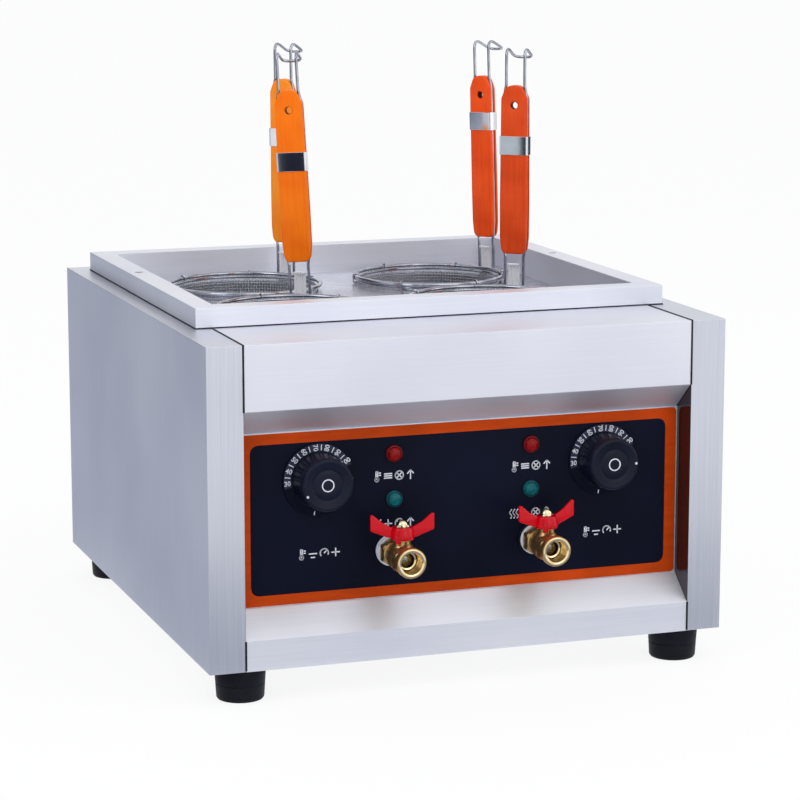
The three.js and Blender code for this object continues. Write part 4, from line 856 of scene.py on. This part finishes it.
cloth.append(sweep(seam, disc_section(seam_wire, 6), closed=True))

# Painted beech: flat paddles with round edges, a hanging hole, and a groove for the wire along each edge.
# The long grain shows through the paint, and the drilled hole's wall is bare wood painted dark brown: painted
# shade inside the hole.
grip_low = 34
grip_high = 203
grip_thick = 10
hanging_hole_z = 183
wire_gap = 1.8
groove_near = 7.85
groove_wide = 10.4
shoulder_low = 51
shoulder_high = 190


def painted_beech(name, colour, second_colour):
    """Thick gloss paint on beech: long grain 2 mm wide and 60 mm long, in slow tones of 34 mm."""
    return surface(name, colour, second_colour, (2, 2, 60), 0.0, 0.34, 0.06, 0.06, cloud=34, specular=0.15)


# The rear grips wear lighter copies of the front grips' paints: painted light.
paints = {
    "front_left": painted_beech("orange_painted_beech", "#FF7E06", "#F46C02"),
    "rear_left": painted_beech("orange_painted_beech_lit_copy", "#FF9826", "#FA8414"),
    "front_right": painted_beech("rust_painted_beech", "#E8501A", "#D2400C"),
    "rear_right": painted_beech("rust_painted_beech_lit_copy", "#FF5A16", "#EA480A"),
}
right_half = [(10, 34), (13.0, 38.5), (14.3, 51), (14.5, 86), (13.7, 190), (9.5, 200), (5, 202.6), (0, 203.2)]
outline = right_half + [(-y, z) for y, z in reversed(right_half[:-1])]
hanging_hole = round_hole(0, hanging_hole_z, 3.7, 32)
paddle_part = slab(eased(outline, 9, 5, closed=True), [hanging_hole], grip_thick, 1.6, rounding=3)
edgewise = Matrix(((0, 0, 1, 0), (1, 0, 0, 0), (0, 1, 0, 0), (0, 0, 0, 1)))
on_edge = shift(handle_x, 0, 0) @ edgewise


def joined_up(name, part):
    """A part as an object with its loose corners joined, for cutting."""
    mesh = bpy.data.meshes.new(name)
    mesh.from_pydata(part[0], [], part[1])
    join(mesh, 0.0005)
    return put(name, mesh)


def grooved(part):
    """The paddle with its two wire grooves cut."""
    paddle = joined_up("paddle", part)
    cutters = []
    for sign in (-1, 1):
        near, wide, beyond = sign * groove_near, sign * groove_wide, sign * 20
        cut = [(near, grip_low - 3), (beyond, grip_low - 3), (beyond, grip_high + 3), (near, grip_high + 3),
               (near, grip_high), (wide, shoulder_high), (wide, shoulder_low)]
        cutter = joined_up("groove", slab(cut, [], 2 * wire_gap))
        cutters.append(cutter)
        taken = paddle.modifiers.new("groove", "BOOLEAN")
        taken.operation = "DIFFERENCE"
        taken.solver = "EXACT"
        taken.object = cutter
    bpy.context.view_layer.update()
    cut_mesh = bpy.data.meshes.new_from_object(paddle.evaluated_get(bpy.context.evaluated_depsgraph_get()))
    made = [v.co.copy() for v in cut_mesh.vertices], [list(p.vertices) for p in cut_mesh.polygons], 0
    for spent in (paddle, *cutters):
        bpy.data.objects.remove(spent)
    return made


paddle_part = moved(grooved(paddle_part), on_edge)
bore = [(3.75, -3.2), (3.5, -3.2), (3.5, 3.2), (3.75, 3.2)]
bore_part = moved(lathe(bore, 32, centre=(0, hanging_hole_z, 0), material=1), on_edge)
# The hole's wall is painted dark brown as the shade inside the hole.
hole_shade_beech = surface("bare_beech_painted_shade", "#4A2008", "#2E1204", (1, 1, 8), 0.0, 0.6, 0.06, 0.04,
                     cloud=10, specular=0.1)

# Each basket is put together in its own place: its wires, strip, bowl, grip and ferrule. The wires stand
# near each other at the foot and the hook, and wide along the grip.
wire_near = 9.65
wire_wide = 12.2
hook_high = 241.6
hook_reach = 24.5
hook_drop = 12
clip_radius = 3.0
clip_wire = 1.7
clip_leg_wire = 1.4
clip_leg = [(clip_radius, 1.2, 0.4), (clip_radius, 1.2, -6), (-1.2, 1.2, -6)]
plate_high = 23.5
plate_fold = 5
plate_section = [(6, -0.5), (6, 0.5), (5.75, 0.75), (-5.75, 0.75), (-6, 0.5), (-6, -0.5), (-5.75, -0.75),
                 (5.75, -0.75)]
ferrule_drops = {"front_left": 0.36, "front_right": 0.3, "rear_left": 0.3, "rear_right": 0.225}
ferrule_high = 18.5
ferrule_sheet = 0.5
ferrule_gap = 0.3
circle_path = [(ring_radius * math.cos(k * math.pi / 60), ring_radius * math.sin(k * math.pi / 60), 0)
               for k in range(120)]
rim_path = [(p[0] * rim_wire_share, p[1] * rim_wire_share, rim_wire_z) for p in circle_path]
rings = [sweep(circle_path, disc_section(ring_wire, 14), closed=True, up=(0, 0, 1)),
         sweep(rim_path, disc_section(rim_wire, 10), closed=True, up=(0, 0, 1))]
wrap = [(clip_radius * math.cos(a * math.pi / 8), 0, clip_radius * math.sin(a * math.pi / 8))
        for a in range(16)]
clip = [sweep(wrap, disc_section(clip_wire, 8), closed=True, up=(0, 1, 0)),
        sweep(eased(clip_leg, 1.4, 4), disc_section(clip_leg_wire, 8))]
plate_x = handle_x - 0.75
fold = [(handle_x - plate_fold, 0, plate_high), (plate_x, 0, plate_high), (plate_x, 0, -4.5)]
there, back = shift(handle_x, 0, 0), shift(-handle_x, 0, 0)
bowl_mesh = None
for name, (x, y) in ring_places.items():
    direction, twist, lean = stances[name]
    body = f"basket_{name}"
    at_ring = shift(x, y, ring_z) @ turn(direction)
    upright = there @ turn(twist) @ back
    leaned = there @ turn(twist) @ turn(-lean, "X") @ back
    sides = []
    for sign in (-1, 1):
        near, wide = sign * wire_near, sign * wire_wide
        line = [(handle_x, near, grip_low - 3), (handle_x, wide, shoulder_low),
                (handle_x, wide, shoulder_high), (handle_x, near, grip_high), (handle_x, near, hook_high),
                (handle_x + hook_reach, near, hook_high - hook_drop)]
        sides.append([upright @ Vector((handle_x, near, foot_z)),
                      upright @ Vector((handle_x, near, ring_wire)), *(leaned @ Vector(p) for p in line)])
    handle = sweep(eased([*sides[0], *reversed(sides[1])], 7, 6), disc_section(handle_wire, 12))
    foot = sweep([sides[0][0], sides[1][0]], disc_section(handle_wire, 12))
    parts = [*rings, handle, foot]
    for k in range(6):
        parts += [moved(part, turn(60 * k + 30) @ shift(ring_radius, 0, 0)) for part in clip]
    plate = sweep([upright @ p for p in eased(fold, 1.6, 4)], plate_section,
                  up=upright.to_3x3() @ Vector((0, 1, 0)), material=1)
    add_piece(f"wire_frame_{name}", parts + [plate], [bright_wire, bent_plate], body,
              [f"basket_frame_{name}"], at_ring)
    bowl_name, bowl_node = f"wire_cloth_bowl_{name}", f"basket_bowl_{name}"
    if bowl_mesh is None:
        bowl_mesh = add_piece(bowl_name, cloth, [cloth_wire], body, [bowl_node], at_ring, sharp=70).data
    else:
        set_piece(bowl_name, bowl_mesh, body, [bowl_node], at_ring)
    add_piece(f"painted_grip_{name}", [paddle_part, bore_part], [paints[name], hole_shade_beech], body,
              [f"grip_{name}"], at_ring @ leaned, sharp=38)
    top = grip_high - ferrule_drops[name] * (grip_high - grip_low)
    half_width = 14.5 - 0.8 * (top - ferrule_high - 86) / 104 + ferrule_gap + ferrule_sheet / 2
    half_depth = grip_thick / 2 + ferrule_gap + ferrule_sheet / 2
    middle = top - ferrule_high / 2
    inner, outer = handle_x - half_depth, handle_x + half_depth
    loop = eased(level(inner, -half_width, outer, half_width, middle), 1.8, 5, closed=True)
    h, t = ferrule_high / 2, ferrule_sheet / 2
    wall = [(-h, -t * 0.4), (-h + 0.2, -t), (h - 0.2, -t), (h, -t * 0.4), (h, t * 0.4), (h - 0.2, t),
            (-h + 0.2, t), (-h, t * 0.4)]
    add_piece(f"steel_ferrule_{name}", [sweep(loop, wall, closed=True, up=(0, 0, 1))], [polished_band], body,
              [f"ferrule_{name}"], at_ring @ leaned)

# The seams: dark dull beads run round the foot of the rim and down the folds where the front meets its posts,
# as painted shadow in the gaps there.
bead = 2.0
fascia_low, fascia_high = box_mm("front_fascia")
panel_low = box_mm("control_panel")[0]
fascia_drop = 60
lip_top = 59
seams = []
for sign in (-1, 1):
    x = sign * post_edge
    seams.append([(x, fascia_high.y, fascia_high.z), (x, fascia_low.y, fascia_high.z),
                  (x, fascia_low.y, fascia_high.z - fascia_drop)])
    seams.append([(x, panel_low.y, lip_top), (x, panel_low.y, panel_low.z + 1)])
low, high = box_mm("tank_rim")
rim_foot = fascia_high.z + 0.2
round_rim = level(low.x, low.y, high.x, high.y, rim_foot)
# Dark beads in the gaps: painted shadow.
gap_shadow_paint = surface("painted_gap_shadow_bead", "#22252F", "#14161E", (2, 2, 2), 0.0, 0.45, 0.08, 0.05,
                        cloud=12, specular=0.2)
front_beads = [sweep(line, disc_section(bead, 8)) for line in seams]
add_piece("gap_shadow_bead_front", front_beads, [gap_shadow_paint], "housing")
rim_bead = sweep(round_rim, disc_section(bead, 8), closed=True, up=(0, 0, 1))
add_piece("gap_shadow_bead_rim", [rim_bead], [gap_shadow_paint], "housing")

# The feet: moulded black rubber cones with one fine groove round the middle, each on a stud that screws
# through the tray.
foot_section = [(0, 0), (18.2, 0), (20.6, 0.5), (21.7, 1.9), (21.9, 3), (22.6, 14.6), (22.2, 15),
                (22.2, 15.8), (22.7, 16.2), (23.6, 29.6), (23.1, 30.7), (4, 30.7), (4, 43), (0, 43)]
for name in ring_places:
    low, high = box_mm(f"foot_{name}")
    centre = ((low.x + high.x) / 2, (low.y + high.y) / 2, 0)
    add_piece(f"rubber_foot_{name}", [lathe(foot_section, 64, centre=centre)], [black_rubber], "housing",
              [f"foot_{name}"])

# The cable gland: a moulded hexagon with its domed cap outside the rear panel and a locknut inside, in the
# knobs' black. It is where the cord would leave.
gland_place = (150, 0, 91)
gland_flats = 24
gland_section = [(4.5, 272.3), (12, 272.3), (13.9, 273, gland_flats), (13.9, 276.6, gland_flats),
                 (12, 277.3), (10, 277.3), (10, 279.4), (12, 279.4), (13.7, 280.1, gland_flats),
                 (13.7, 286.7, gland_flats), (12, 287.4), (10, 287.4), (9.9, 289), (9, 293), (8, 296.4),
                 (7.2, 297.4), (5.2, 297.4), (4.5, 296.6), (4.5, 272.3)]
add_piece("nylon_cable_gland", [lathe(gland_section, 60, "Y", gland_place)], [black_abs], "housing",
          ["cable_gland"])

# The terminal block: pressed steatite, a fired ceramic, on the tray behind the tanks. It is cream and dull,
# with a fine grit.
steatite = surface("pressed_steatite", "#E4DECF", "#D2CBB9", (0.8, 0.8, 0.8), 0.0, 0.42, 0.07, 0.04, cloud=20)
dress("terminal_block", steatite, 0.6)
